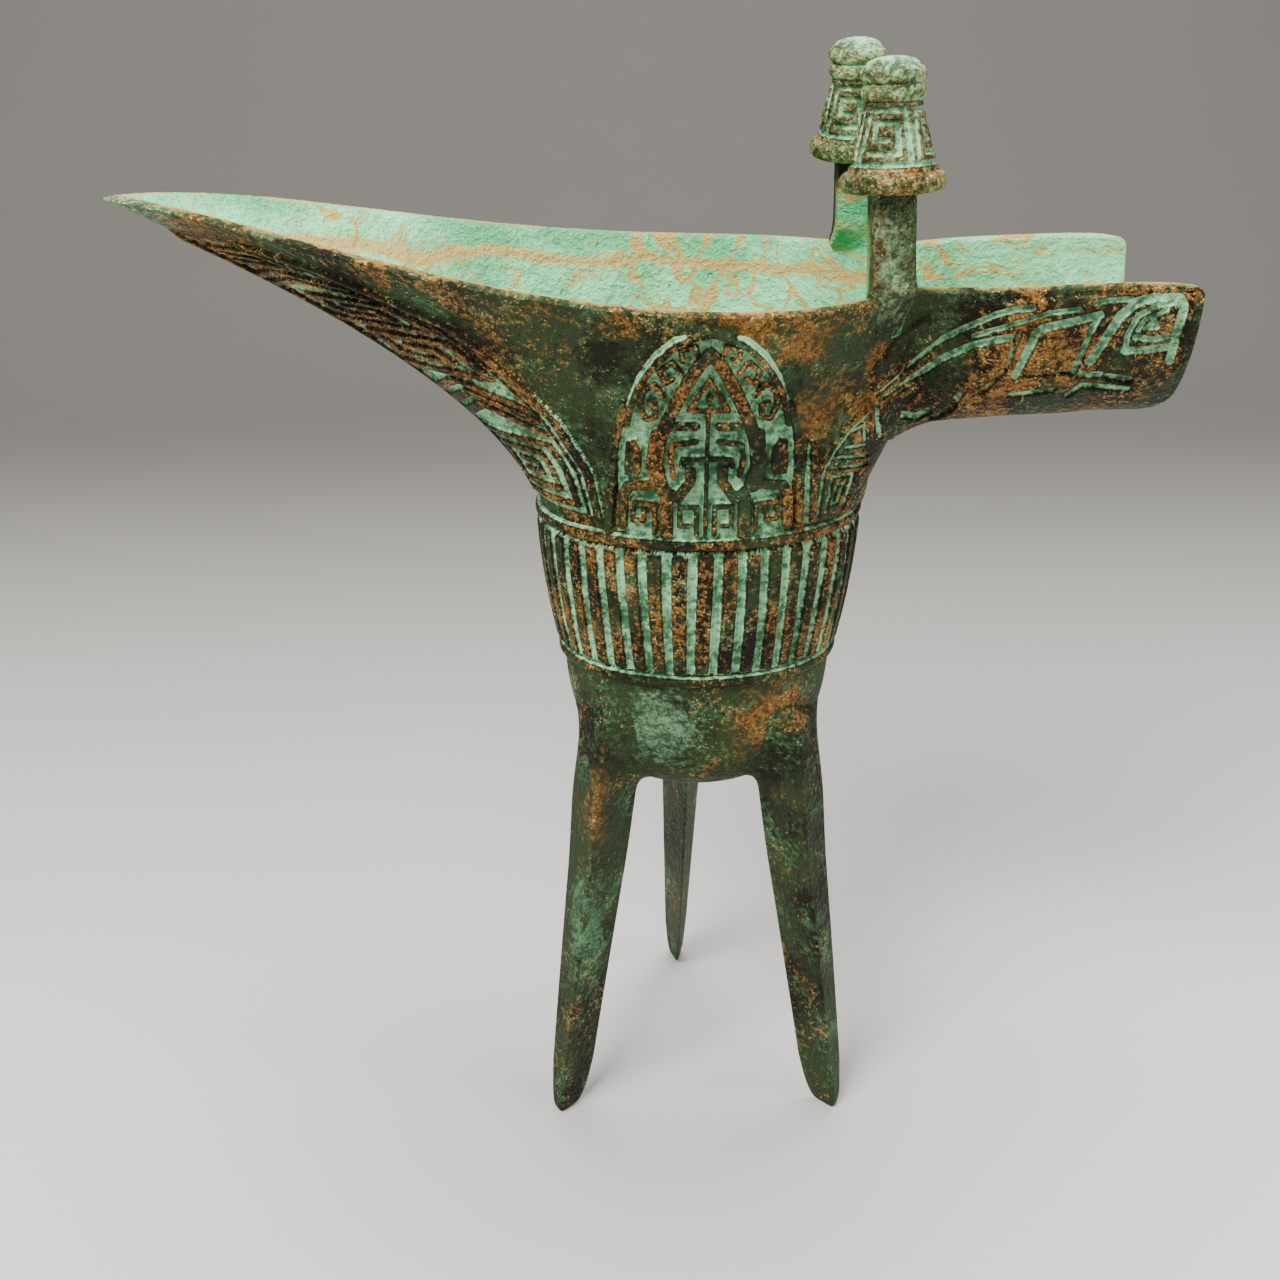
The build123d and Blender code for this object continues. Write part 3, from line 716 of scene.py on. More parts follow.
# Finishes: the record's slot, how green, how rusty, and local spots
FINISHES = {
    "wall_patina": ("bronze_wall", 0.10, -0.03, [
        ((-5.0, -11.0, 54.0), 4.6, 1.0, "mint", 0.26),
        ((8.5, -10.5, 54.0), 5.0, 1.2, "rust", 0.8),
        ((9.5, -18.5, 99.0), 3.2, 0.8, "rust", 0.85),
        ((3.5, -20.0, 101.0), 3.4, 0.8, "rust", 0.85),
        ((-10.0, -18.0, 97.0), 4.0, 0.8, "dark", 0.8),
        ((11.5, -14.5, 90.5), 3.2, 1.5, "rust", 0.75),
        ((17.2, -11.5, 95.5), 2.2, 1.4, "rust", 0.85),
        ((-58.0, 0.0, 110.0), 7.0, 1.0, "mint", 0.40),
    ]),
    "relief_patina": ("bronze_relief", 0.02, 0.075, []),
    "cap_patina": ("bronze_cap", 0.20, 0.10, [
        ((17.5, 0.0, 121.0), 24.0, 0.4, "bloom", 0.40),
        ((17.5, 0.0, 120.0), 22.0, 0.4, "gold", 0.40),
    ]),
    "post_patina": ("bronze_leg", 0.30, -0.06, [
        ((18.0, -14.0, 107.5), 9.0, 1.0, "bloom", 0.24),
        ((18.0, -14.0, 107.5), 9.0, 1.0, "gold", 0.18),
        ((15.6, -14.6, 107.0), 1.5, 3.0, "rust", 0.6),
    ]),
    "leg_patina": ("bronze_leg", 0.08, -0.04, [
        ((-13.0, -9.0, 25.0), 2.6, 3.0, "bloom", 0.25),
        ((-11.5, -10.5, 44.0), 2.6, 3.0, "rust", 0.55),
    ]),
}


class JueStep(bpy.types.Operator):
    """What every step of the build shares."""
    bl_options = {"REGISTER", "UNDO"}


class JUE_OT_bowl(JueStep):
    """Oval bowl with its round bottom: an outer and an inner wall joined at the upper bead."""
    bl_idname = "jue.bowl"
    bl_label = "Bowl"

    def execute(self, context):
        wall = context.scene.jue_sizes.wall / MM
        turn = np.linspace(0, 2 * np.pi, 181)[None, :]
        climb = np.concatenate([np.linspace(0, 1, 40), np.linspace(1, 2, 25)[1:]])[:, None]
        outer = bowl_wall(turn, climb, 0)
        inner = bowl_wall(turn, climb, wall)
        form = Form()
        form.grid(outer)
        form.grid(inner, lining=1.0)
        form.grid(between(outer[-1], inner[-1], len(SEAM_RAMP)), lining=SEAM_RAMP)
        form.piece("bowl", "wall_patina", "cup_bowl")
        return {"FINISHED"}


class JUE_OT_mouth(JueStep):
    """Flaring mouth drawn out into the pointed tail: two walls, a rounded rim, seams at bead and spout.

    The seam at the spout begins at the row where the two sides part.
    """
    bl_idname = "jue.mouth"
    bl_label = "Mouth and tail"

    def execute(self, context):
        wall = context.scene.jue_sizes.wall / MM
        turn = np.linspace(0, 1, 161)[None, :]
        climb = np.linspace(0, 1, 101)[:, None]
        outer = mouth_wall(turn, climb, 0)
        inner = mouth_wall(turn, climb, wall)
        open_row = max(int(np.argmax(outer[:, -1, 1] < -1e-4)) - 1, 0)
        rim = (0, 0, RIM_EDGE)
        form = Form()
        for side in (np.array, mirrored):
            near, lining = side(outer), side(inner)
            form.grid(near, brim=climb)
            form.grid(lining, lining=1.0, brim=climb)
            form.grid(between(near[-1], lining[-1], len(EDGE_RAMP), rim), lining=EDGE_RAMP, brim=1.0)
            form.grid(between(near[0], lining[0], len(SEAM_RAMP)), lining=SEAM_RAMP)
            seam = between(near[open_row:, -1], lining[open_row:, -1], len(SEAM_RAMP))
            form.grid(seam, lining=SEAM_RAMP, brim=climb[open_row:].T)
        form.piece("mouth", "wall_patina", "cup_mouth", "tail_trough")
        return {"FINISHED"}


class JUE_OT_spout(JueStep):
    """U-shaped spout: two walls, a rounded rim that fades towards the lip, a lip and a seam at the mouth."""
    bl_idname = "jue.spout"
    bl_label = "Spout"

    def execute(self, context):
        wall = context.scene.jue_sizes.wall / MM
        rounding = np.linspace(0, 0.1, 12)
        flank = np.sin(np.linspace(0.1, np.pi / 2, 46))[1:]
        depth = np.concatenate([rounding, flank])[None, :]
        along = np.linspace(0, 1, 81)[:, None]
        rim = np.array((0, 0, RIM_EDGE)) * (1 - along**12)
        form = Form()
        for side in (-1, 1):
            outer = spout_wall(side, depth, along, 0)
            inner = spout_wall(side, depth, along, wall)
            form.grid(outer, brim=1 - depth)
            form.grid(inner, lining=1.0, brim=1 - depth)
            form.grid(between(outer[:, 0], inner[:, 0], len(EDGE_RAMP), rim), lining=EDGE_RAMP, brim=1.0)
            form.grid(between(outer[-1], inner[-1], len(EDGE_RAMP)), lining=EDGE_RAMP)
            form.grid(between(outer[0], inner[0], len(SEAM_RAMP)), lining=SEAM_RAMP, brim=1 - depth)
        form.piece("spout", "wall_patina", "spout_trough")
        return {"FINISHED"}


def rounded(corners, softness, count):
    """A closed outline through the corners, rounded by averaging neighbouring points."""
    ring = np.array(corners + corners[:1], float)
    run = np.concatenate([[0], np.cumsum(np.linalg.norm(np.diff(ring, axis=0), axis=1))])
    place = np.linspace(0, run[-1], count, endpoint=False)
    points = np.stack([np.interp(place, run, ring[:, axis]) for axis in (0, 1)], axis=-1)
    reach = max(int(softness * count), 1)
    points = np.mean([np.roll(points, step, axis=0) for step in range(-reach, reach + 1)], axis=0)
    return np.concatenate([points, points[:1]])


def leg_section():
    """Section of a leg, sharp and softened, and the directions in which its fillet spreads.

    It is a triangle of depth 1 and width 1 with its flat side outside. The fillet follows the normals
    of the softened outline, but never spreads outwards.
    """
    corners = [(0, 0.5), (-1, 0), (0, -0.5)]
    sharp = rounded(corners, 0.022, 160)
    soft = rounded(corners, 0.085, 160)
    spread = np.gradient(soft[:-1], axis=0)
    spread = np.concatenate([spread, spread[:1]])[:, ::-1] * np.array((1, -1))
    spread /= np.linalg.norm(spread, axis=-1, keepdims=True)
    spread *= np.sign(np.sum(spread * (soft - soft.mean(axis=0))))
    spread[:, 0] = np.minimum(spread[:, 0], 0)
    return sharp, soft, spread


def leg_surface(z, section, angle, seat, foot):
    """Leg at heights z, one column for each point of the section, from its foot's radius up to its seat's.

    The angle is in degrees round the cup. The section grows in proportion to the height, is softened near
    tip and bowl, and shrinks at the tip by a quarter circle. Near the bowl it flares along the wall by a
    quarter circle of radius LEG_FILLET.
    """
    sharp, soft, spread = section
    out = np.array((np.cos(np.radians(angle)), np.sin(np.radians(angle))))
    across = np.array((-out[1], out[0]))
    t = z / LEG_TOP
    # Half its size at the very tip, soft near tip and bowl, bowed a little and drawn in under the bowl
    tip = 0.5 + 0.5 * np.sqrt(1 - np.clip(1 - z / TIP_HEIGHT, 0, 1) ** 2)
    ease = np.maximum(smooth((t - 0.7) / 0.22), smooth((7.0 - z) / 6.0))
    shape = sharp + (soft - sharp) * ease[..., None]
    bulge = 0.9 * t * (1 - t) + 0.5 * smooth((t - 0.55) / 0.3) - 1.4 * smooth((t - 0.9) / 0.1)
    depth = (LEG_DEPTH[0] + (LEG_DEPTH[1] - LEG_DEPTH[0]) * t) * tip
    width = (LEG_WIDTH[0] + (LEG_WIDTH[1] - LEG_WIDTH[0]) * t) * tip
    radius = foot + (seat - foot) * t + bulge - (1 - tip) * 1.3 + depth * shape[..., 0]
    side = width * shape[..., 1]
    flat = radius[..., None] * out + side[..., None] * across
    flare = quarter_round(LEG_FILLET - np.maximum(bowl_side(flat[..., 0], flat[..., 1], z), 0), LEG_FILLET)
    flare = flare[..., None]
    # The flare runs along the wall: across its outward direction, and back by the bowl's own curve
    away = flat / np.array((1, OVAL**2))
    away = away / np.linalg.norm(away, axis=-1, keepdims=True)
    aside = spread[:, :1] * out + spread[:, 1:] * across
    along = aside - np.sum(aside * away, axis=-1, keepdims=True) * away
    flat = flat + flare * along - flare**2 / (2 * BOWL_CURVE) * away
    return np.concatenate([flat, z[..., None]], axis=-1)


class JUE_OT_legs(JueStep):
    """Three-sided tapering legs: flat outside, ridge inside, rounded tips.

    Each column of the section climbs until it is let into the bowl, at a height found by halving.
    """
    bl_idname = "jue.legs"
    bl_label = "Legs"

    def execute(self, context):
        section = leg_section()
        tip, shaft, top = np.linspace(0, 0.06, 10), np.linspace(0.06, 0.72, 40), np.linspace(0.72, 1, 50)
        rise = np.concatenate([tip, shaft[1:], top[1:]])[:, None]
        for name, node, *stance in (
            ("left_leg", "leg_left", 210.0, SEAT_RADIUS, FOOT_RADIUS),
            ("right_leg", "leg_right", 330.0, SEAT_RADIUS, FOOT_RADIUS),
            ("rear_leg", "leg_rear", 93.5, REAR_SEAT_RADIUS, REAR_FOOT_RADIUS),
        ):
            low = np.full(len(section[0]), LEG_FREE)
            high = np.full(len(section[0]), LEG_TOP)
            for _ in range(HALVINGS):
                middle = (low + high) / 2
                column = leg_surface(middle, section, *stance)
                outside = bowl_side(*np.moveaxis(column, -1, 0)) > -LEG_SINK
                low = np.where(outside, middle, low)
                high = np.where(outside, high, middle)
            form = Form()
            form.tube(leg_surface(rise * low, section, *stance))
            form.piece(name, "leg_patina", node)
        return {"FINISHED"}


def lean_frame(side):
    """Where a post's foot begins in the wall, and the axes of its leaning frame as rows."""
    tilt = Euler((np.radians(side * POST_LEAN_IN), np.radians(-POST_LEAN_BACK), 0), "XYZ").to_matrix()
    return np.array((POST_X, side * POST_Y, RIM_Z - POST_LAP)), np.array(tilt).T


class JUE_OT_posts(JueStep):
    """Square posts with soft edges that rise from the rim; their feet run out into the wall.

    A post is a rounded square carried up its leaning axis, a little thicker at the rim. Below the rim
    its outside eases into the outer wall's face and its inside into the inner one's.
    """
    bl_idname = "jue.posts"
    bl_label = "Posts"

    def execute(self, context):
        wall = context.scene.jue_sizes.wall / MM
        half = POST_HALF
        section = rounded([(-half, -half), (half, -half), (half, half), (-half, half)], 0.035, 96)
        rise = np.linspace(-POST_ROOT, POST_LAP + POST_HEIGHT + POST_LET_IN, 60)[:, None]
        over = rise - POST_LAP
        swell = 1 + 0.22 * np.exp(-np.abs(over)) - 0.35 * smooth(-over / 4.6)
        for name, node, side in (("near_post", "post_near", -1), ("far_post", "post_far", 1)):
            foot, axes = lean_frame(side)
            flat = section[None, :, :1] * axes[0] + section[None, :, 1:] * axes[1]
            tube = foot + flat * swell[..., None] + rise[..., None] * axes[2]
            x, y, z = np.moveaxis(tube, -1, 0)
            skin = -level_point(level_angle(x, np.maximum(z, UPPER_BEAD_Z)), z, 0)[..., 1]
            below = smooth((rim_height(x) + 0.6 - z) / 1.5)
            reach = np.abs(y)
            reach = reach + (np.minimum(reach, skin + POST_PROUD) - reach) * below
            inner = skin - wall + 0.5 * smooth(-over / 3.0)
            reach = reach + np.maximum(inner - reach, 0) * smooth((2.5 - over) / 4.5)
            tube[..., 1] = side * reach
            inside = smooth(0.5 - side * section[None, :, 1] / 2.4) * smooth((9.0 - over) / 5.0)
            form = Form()
            form.tube(tube, groove=0.30, lining=inside)
            form.piece(name, "post_patina", node)
        return {"FINISHED"}


# Grooves of one panel of a cap's cone, each a half width and a line: millimetres across and up
CAP_GROOVES = [
    (0.24, [(-2.35, 0.75), (2.35, 0.75)]),
    (0.22, [(-2.15, 0.75), (-1.75, 5.5), (1.35, 5.5)]),
    (0.24, [(-1.2, 1.75), (1.0, 1.75), (0.95, 4.4), (-1.0, 4.4), (-1.0, 2.95), (0.1, 2.95)]),
    (0.24, [(1.95, 0.9), (1.65, 5.6)]),
]


class JUE_OT_caps(JueStep):
    """Turned caps: rounded flange, cone with four spiral panels, two rings and a low dome.

    The profile is a half circle, a straight line, two swellings by the root of a sine and a quarter of
    an ellipse, turned about the post's leaning axis; the grooves are cut into the cone.
    """
    bl_idname = "jue.caps"
    bl_label = "Caps"

    def execute(self, context):
        turn = np.linspace(0, 2 * np.pi, 289)[None, :]
        bend = np.linspace(-np.pi / 2, np.pi / 2, 15)
        height = np.linspace(0, CONE_HEIGHT, 70)
        rings = np.linspace(0, RING_COUNT, 33)
        dome = np.linspace(0, np.pi / 2, 12)
        radius = np.concatenate([
            [0, UNDERSIDE_RADIUS],
            FLANGE_RADIUS + FLANGE_ROUND * np.cos(bend),
            CONE_RADIUS - CONE_TAPER * height / CONE_HEIGHT,
            RING_RADIUS + RING_SWELL * np.sqrt(np.abs(np.sin(np.pi * rings))),
            RING_RADIUS * np.cos(dome),
        ])
        level = np.concatenate([
            [0, 0],
            FLANGE_ROUND + FLANGE_ROUND * np.sin(bend),
            CONE_FOOT + height,
            RING_FOOT + RING_HEIGHT * rings,
            DOME_FOOT + DOME_HEIGHT * np.sin(dome),
        ])
        pinch = np.zeros(len(level))
        pinch[-len(dome) - len(rings):-len(dome)] = np.exp(-(np.abs(rings % 1.0 - 0.5) - 0.5) ** 2 / 0.01)
        pale = 0.30 * smooth((level - CONE_FOOT - 0.2) / 0.4) + 0.18 * smooth((level - RING_FOOT) / 0.3)
        pale = np.maximum(0.8 * pinch, pale + 0.2 * smooth((level - DOME_FOOT + 0.1) / 0.3))[:, None]
        radius, level = radius[:, None], level[:, None]
        panel = (turn - np.radians(CONE_PANEL_TURN)) / (np.pi / 2)
        p = (panel - np.round(panel)) * CONE_PANEL_WIDTH * radius / np.maximum(radius, 2.8)
        q = level - CONE_FOOT + 0 * turn
        cone = smooth((q + 0.1) / 0.3) * smooth((CONE_HEIGHT + 0.1 - q) / 0.3)
        on_cone = (level > CONE_FOOT - 0.1) & (level < RING_FOOT + 0.1)
        groove = np.where(on_cone, drawn(p, q, CAP_GROOVES) * cone, 0)
        reach = radius * (1 + 0.012 * np.sin(3 * turn + level)) - 0.34 * groove
        x, y = reach * np.cos(turn), reach * np.sin(turn)
        z = level + POST_LAP + POST_HEIGHT + 0 * turn
        for name, node, side in (("near_cap", "cap_near", -1), ("far_cap", "cap_far", 1)):
            foot, axes = lean_frame(side)
            form = Form()
            form.grid(foot + np.stack([x, y, z], axis=-1) @ axes, groove=np.maximum(groove, pale))
            form.piece(name, "cap_patina", node, crease=CARVED_CREASE)
        return {"FINISHED"}


def strap_path():
    """Side view of the strap's middle line, y and z: level, quarter circle, down, quarter circle, level."""
    bend = np.linspace(0, np.pi / 2, 16)
    inner = HANDLE_REACH - HANDLE_BEND
    low, high = HANDLE_LOW, HANDLE_HIGH
    lower_root, upper_root = HANDLE_ROOTS
    upper = np.linspace(upper_root, inner, 8)[:-1]
    upright = np.linspace(high - HANDLE_BEND, low + HANDLE_BEND, 16)[1:-1]
    lower = np.linspace(inner, lower_root, 12)[1:]
    y = np.concatenate([upper, inner + HANDLE_BEND * np.sin(bend), np.full(len(upright), HANDLE_REACH),
                        inner + HANDLE_BEND * np.cos(bend), lower])
    z = np.concatenate([np.full(len(upper), high), high - HANDLE_BEND * (1 - np.cos(bend)), upright,
                        low + HANDLE_BEND * (1 - np.sin(bend)), np.full(len(lower), low)])
    return y, z


def swelling(way, place, size):
    """1 at a direction on the head and on its mirror image, fading by a bell curve of that size."""
    middle = np.array(place) / np.linalg.norm(place)
    folded = np.concatenate([np.abs(way[..., :1]), way[..., 1:]], axis=-1)
    return np.exp(-np.sum((folded - middle) ** 2, axis=-1) / size**2)


class JUE_OT_handle(JueStep):
    """Strap handle bent into a C on the far wall: a rounded, crowned section with two grooves on a path."""
    bl_idname = "jue.handle"
    bl_label = "Handle"

    def execute(self, context):
        y, z = strap_path()
        heading = np.stack([np.gradient(y), np.gradient(z)], axis=-1)
        heading /= np.linalg.norm(heading, axis=-1, keepdims=True)
        wide, thick = HANDLE_HALF_WIDTH, HANDLE_HALF_THICK
        section = rounded([(-wide, -thick), (wide, -thick), (wide, thick), (-wide, thick)], 0.03, 96)
        crown = 1 + 0.12 * np.cos(section[:, 0] / wide * np.pi / 2)
        line = np.abs(np.abs(section[:, 0]) - HANDLE_LINE)
        groove = smooth((0.35 - line) / 0.2) * (section[:, 1] > 0.6)
        x = np.broadcast_to(section[:, 0], (len(y), len(section)))
        up = section[:, 1] * crown - HANDLE_SET_BACK - HANDLE_GROOVE * groove
        form = Form()
        strap = np.stack([x, y[:, None] - heading[:, 1:] * up, z[:, None] + heading[:, :1] * up], axis=-1)
        form.tube(strap, groove=np.broadcast_to(groove, x.shape))
        form.piece("strap_handle", "leg_patina", "handle_loop")
        return {"FINISHED"}


class JUE_OT_head(JueStep):
    """Animal head over the handle's upper bend: an ellipsoid with swellings and hollows, and two horns."""
    bl_idname = "jue.head"
    bl_label = "Animal head"

    def execute(self, context):
        lift = np.linspace(-np.pi / 2, np.pi / 2, 91)[:, None]
        turn = np.linspace(0, 2 * np.pi, 145)[None, :]
        flat = np.cos(lift)
        way = np.stack(np.broadcast_arrays(flat * np.cos(turn), flat * np.sin(turn), np.sin(lift)), axis=-1)
        eye = swelling(way, (0.55, 0.75, 0.25), 0.16)
        socket = swelling(way, (0.55, 0.75, 0.25), 0.30) - eye
        muzzle = swelling(way, (0.0, 0.85, -0.5), 0.5)
        nostril = swelling(way, (0.22, 0.85, -0.55), 0.09)
        brow = swelling(way, (0.6, 0.5, 0.62), 0.25)
        size = 1 + 0.10 * eye - 0.10 * socket + 0.10 * muzzle - 0.12 * nostril + 0.10 * brow
        form = Form()
        head = way * size[..., None] * np.array(HEAD_HALF) + np.array(HEAD_PLACE)
        form.grid(head, groove=np.clip(socket * 1.6 + nostril, 0, 1))
        curl = np.linspace(0, 1.25 * np.pi, 28)[:, None]
        around = np.linspace(0, 2 * np.pi, 19)[None, :]
        root, tip = HORN_THICK
        thick = root + (tip - root) * curl / curl.max()
        bend = HORN_BEND + thick * np.cos(around)
        horn = np.stack([bend * np.sin(curl), thick * np.sin(around), -bend * np.cos(curl)], axis=-1)
        for side in (-1, 1):
            form.tube((horn + np.array(HORN_PLACE)) * np.array((side, 1, 1)))
        form.piece("animal_head", "relief_patina", "handle_mask")
        return {"FINISHED"}


class JUE_OT_beads(JueStep):
    """Round rings: a slightly uneven circle carried along the oval, half sunk in the wall."""
    bl_idname = "jue.beads"
    bl_label = "Beads"

    def execute(self, context):
        radius = context.scene.jue_sizes.bead_radius / MM
        turn = np.linspace(0, 2 * np.pi, 241)[:, None]
        around = np.linspace(0, 2 * np.pi, 25)[None, :]
        out = np.stack([OVAL * np.cos(turn), np.sin(turn)], axis=-1)
        out /= np.linalg.norm(out, axis=-1, keepdims=True)
        uneven = radius * (1 + 0.05 * np.sin(5 * turn) + 0.04 * np.sin(13 * turn + 1)) / 1.09
        # Pale where the bead meets the wall, which is verdigris in the crease, and on its upper side, which
        # is a painted highlight
        pale = np.maximum(smooth((0.5 - np.cos(around)) / 0.4), smooth((np.sin(around) - 0.55) / 0.3))
        for name, node, z, half in (
            ("lower_ring", "lower_bead", LOWER_BEAD_Z, LOWER_HALF),
            ("upper_ring", "upper_bead", UPPER_BEAD_Z, UPPER_HALF),
        ):
            x = half * np.cos(turn) + out[..., 0] * uneven * np.cos(around)
            y = OVAL * half * np.sin(turn) + out[..., 1] * uneven * np.cos(around)
            form = Form()
            form.grid(np.stack([x, y, z + uneven * np.sin(around)], axis=-1), groove=pale * 0.9)
            form.piece(name, "relief_patina", node)
        return {"FINISHED"}


class JUE_OT_ribs(JueStep):
    """Reeded band: a skin on the bowl, raised in flat-topped upright ribs that waver a little."""
    bl_idname = "jue.ribs"
    bl_label = "Ribs"

    def execute(self, context):
        sizes = context.scene.jue_sizes
        turn = np.linspace(0, 2 * np.pi, sizes.rib_count * 16 + 1)[None, :]
        t = np.linspace(0.05, 0.95, 40)[:, None]
        wall = bowl_wall(turn, 1 + t, 0)
        phase = turn * sizes.rib_count / (2 * np.pi) + 0.05 * np.sin(3 * t + 7 * turn)
        ends = smooth((0.5 - np.abs(t - 0.5)) / 0.05 - 0.9)
        rib = smooth((RIB_HALF - np.abs(phase % 1.0 - 0.5)) / RIB_SLOPE) * ends
        height = FLOOR_LEVEL + (sizes.rib_height / MM - FLOOR_LEVEL) * rib
        form = Form()
        form.skin(wall, height, wall * (1, 1, 0), 1 - rib, ring=True)
        form.piece("reeded_band", "relief_patina", "belly_ribs", crease=CARVED_CREASE)
        return {"FINISHED"}


# Drawing of the arched mask, in millimetres from the middle of its foot; the other half is its mirror image
MASK_GROUND = [
    (0, 0), (9.0, 0), (8.9, 7.5), (8.6, 12.0), (7.9, 15.4), (7.0, 18.0), (5.5, 20.5), (3.6, 22.3), (0, 23.2),
]
MASK_LINES = [
    (0.24, [(0, 14.5), (0, 0.2)]),
    (0.30, [(-1.9, 14.6), (0, 18.0), (1.9, 14.6), (-1.9, 14.6)]),
    (0.36, [(0, 15.8), (0, 15.9)]),
    (0.68, [(0, 20.9), (0.9, 19.8), (1.8, 18.2), (2.7, 16.4), (3.5, 14.4), (4.1, 12.8), (4.7, 11.2)]),
    (0.88, [(4.8, 11.6), (5.2, 8.2), (4.6, 5.9)]),
    (0.56, [(4.5, 5.7), (2.8, 4.5), (1.6, 6.4), (1.6, 7.7)]),
    (0.60, [(5.2, 6.0), (7.7, 5.6), (8.3, 4.4), (8.4, 1.0)]),
    (0.42, [(9.8, 0), (9.7, 1.5), (9.4, 7.4), (8.9, 11.4), (8.2, 14.4)]),
    (0.52, [(1.2, 12.8), (3.1, 12.8)]),
    (0.32, [(1.1, 11.1), (3.4, 10.6), (3.6, 8.8), (3.3, 7.1)]),
    (0.28, [(0, 9.1), (2.4, 9.0), (2.5, 8.2)]),
    (0.68, [(3.9, 4.4), (3.9, 0.3)]),
    (0.30, [(5.1, 0.4), (5.1, 3.6), (7.3, 3.8), (7.3, 1.7), (6.2, 1.7), (6.2, 2.7)]),
    (0.30, [(0.9, 0.3), (0.9, 3.5), (2.6, 3.5), (2.6, 1.3), (1.7, 1.3)]),
    (0.34, [(0.2, 22.9), (1.8, 22.5), (3.4, 21.5), (4.9, 20.0), (6.1, 18.2), (7.0, 16.4), (7.6, 14.4),
            (7.9, 12.7)]),
    (0.32, [(4.4, 16.2), (5.3, 17.5), (6.4, 16.5), (6.6, 14.8), (6.0, 13.5), (5.2, 13.7), (5.1, 15.1),
            (5.7, 15.4)]),
    (0.32, [(2.8, 18.8), (3.6, 20.0), (4.8, 18.8), (4.2, 17.6), (3.5, 18.1)]),
    (0.32, [(1.3, 20.8), (1.5, 21.7), (2.8, 21.2), (2.6, 20.1), (2.1, 20.3)]),
]
MASK_EYE = [(6.4, 9.8), (7.0, 11.1), (8.0, 10.8), (8.2, 8.0), (8.1, 6.9), (6.8, 6.8), (6.4, 7.6)]

# Panel between mask and spout, drawn as the mask is, and the root of the spout's relief: length and height
CORNER_PLATE = [
    (10.2, 0.2), (17.6, 0.2), (17.8, 6), (17.3, 12.6), (16.6, 12.4), (14.7, 11.2), (13.1, 9.2), (11.7, 7.2),
    (11.0, 10.2), (10.3, 10.2),
]
CORNER_GROOVES = [
    (0.26, [(10.6, 0.4), (10.6, 1.5), (10.4, 6.6), (10.2, 9.8)]),
    (0.16, [(11.8, 0.4), (12.1, 6.0), (13.3, 8.6), (14.8, 10.6), (16.6, 12.0)]),
    (0.16, [(12.6, 6.6), (16.9, 5.8)]),
    (0.18, [(12.7, 1.2), (13.1, 5.4), (15.5, 5.1), (14.7, 1.1)]),
    (0.16, [(13.3, 2.0), (13.7, 4.3), (14.5, 4.2), (13.9, 2.0), (13.3, 2.0)]),
    (0.16, [(13.7, 7.6), (16.8, 6.9)]),
    (0.16, [(14.4, 8.6), (16.6, 8.3)]),
    (0.14, [(15.0, 10.4), (16.2, 10.8), (16.5, 8.9)]),
]
ROOT_PLATE = [
    (21.0, 99.4), (19.3, 98.2), (17.0, 95.4), (16.4, 93.3), (17.0, 91.0), (17.7, 88.2), (18.4, 86.2),
    (21.0, 84.6),
]
ROOT_GROOVES = [
    (0.18, [(17.3, 92.1), (19.2, 93.3), (21.2, 94.7)]),
    (0.22, [(18.0, 91.5), (20.3, 92.4), (22.5, 93.8)]),
    (0.20, [(17.4, 91.2), (17.9, 88.6), (18.5, 86.4)]),
]


class JUE_OT_mask(JueStep):
    """Arched mask on the near wall and a second one behind the handle: skins raised along drawn ridges."""
    bl_idname = "jue.mask"
    bl_label = "Mask panels"

    def execute(self, context):
        half, apex = MASK_ARCH
        side_power, top_power = ARCH_POWERS
        p, climb = np.meshgrid(np.linspace(-MASK_REACH, MASK_REACH, 221), np.linspace(0, 1, 212))
        top = apex * (1 - np.abs(p / half) ** side_power) ** top_power
        q = (top + PANEL_LAP) * climb - PANEL_LAP
        wall = level_point(level_angle(p, PANEL_FOOT + q), PANEL_FOOT + q, 0)
        ridge = np.maximum(drawn(p, q, both_hands(MASK_LINES)), filled(np.abs(p), q, MASK_EYE))
        foot = smooth((8.5 - np.abs(p)) / 0.3) * smooth((10 - q) / 0.3)
        ground = np.maximum(filled(np.abs(p), q, MASK_GROUND), foot)
        height = FLOOR_LEVEL - 0.06 * (1 - ground) + (MASK_RELIEF - FLOOR_LEVEL) * ridge
        relief_pair(("front_mask", "mask_plaque"), ("back_mask",),
                    (wall, height, (0, -1, 0), ground * (1 - ridge)))
        return {"FINISHED"}


class JUE_OT_corners(JueStep):
    """Panels between mask and spout, and the root of the spout's relief: plates cut by drawn grooves."""
    bl_idname = "jue.corners"
    bl_label = "Corner panels"

    def execute(self, context):
        relief = context.scene.jue_sizes.relief / MM
        start, end = CORNER_X
        across = start + (end - start) * np.sin(np.linspace(0, np.pi / 2, 110))
        p, q = np.meshgrid(across, np.linspace(-PANEL_LAP, CORNER_HEIGHT, 160))
        x, z = np.meshgrid(np.linspace(ROOT_X, SPOUT_SEAM, 80), np.linspace(*ROOT_Z, 140))
        skins = []
        for along, level, plate, groove in (
            (p, PANEL_FOOT + q, filled(p, q, CORNER_PLATE), drawn(p, q, CORNER_GROOVES)),
            (x, z, filled(x, z, ROOT_PLATE, 0.6), drawn(x, z, ROOT_GROOVES)),
        ):
            wall = level_point(level_angle(along, level), level, 0)
            height = EDGE_LEVEL + (relief - EDGE_LEVEL) * plate * (1 - 0.9 * groove)
            skins.append((wall, height, (0, -1, 0), plate * groove))
        relief_pair(("near_corner_panel",), ("far_corner_panel",), *skins)
        return {"FINISHED"}


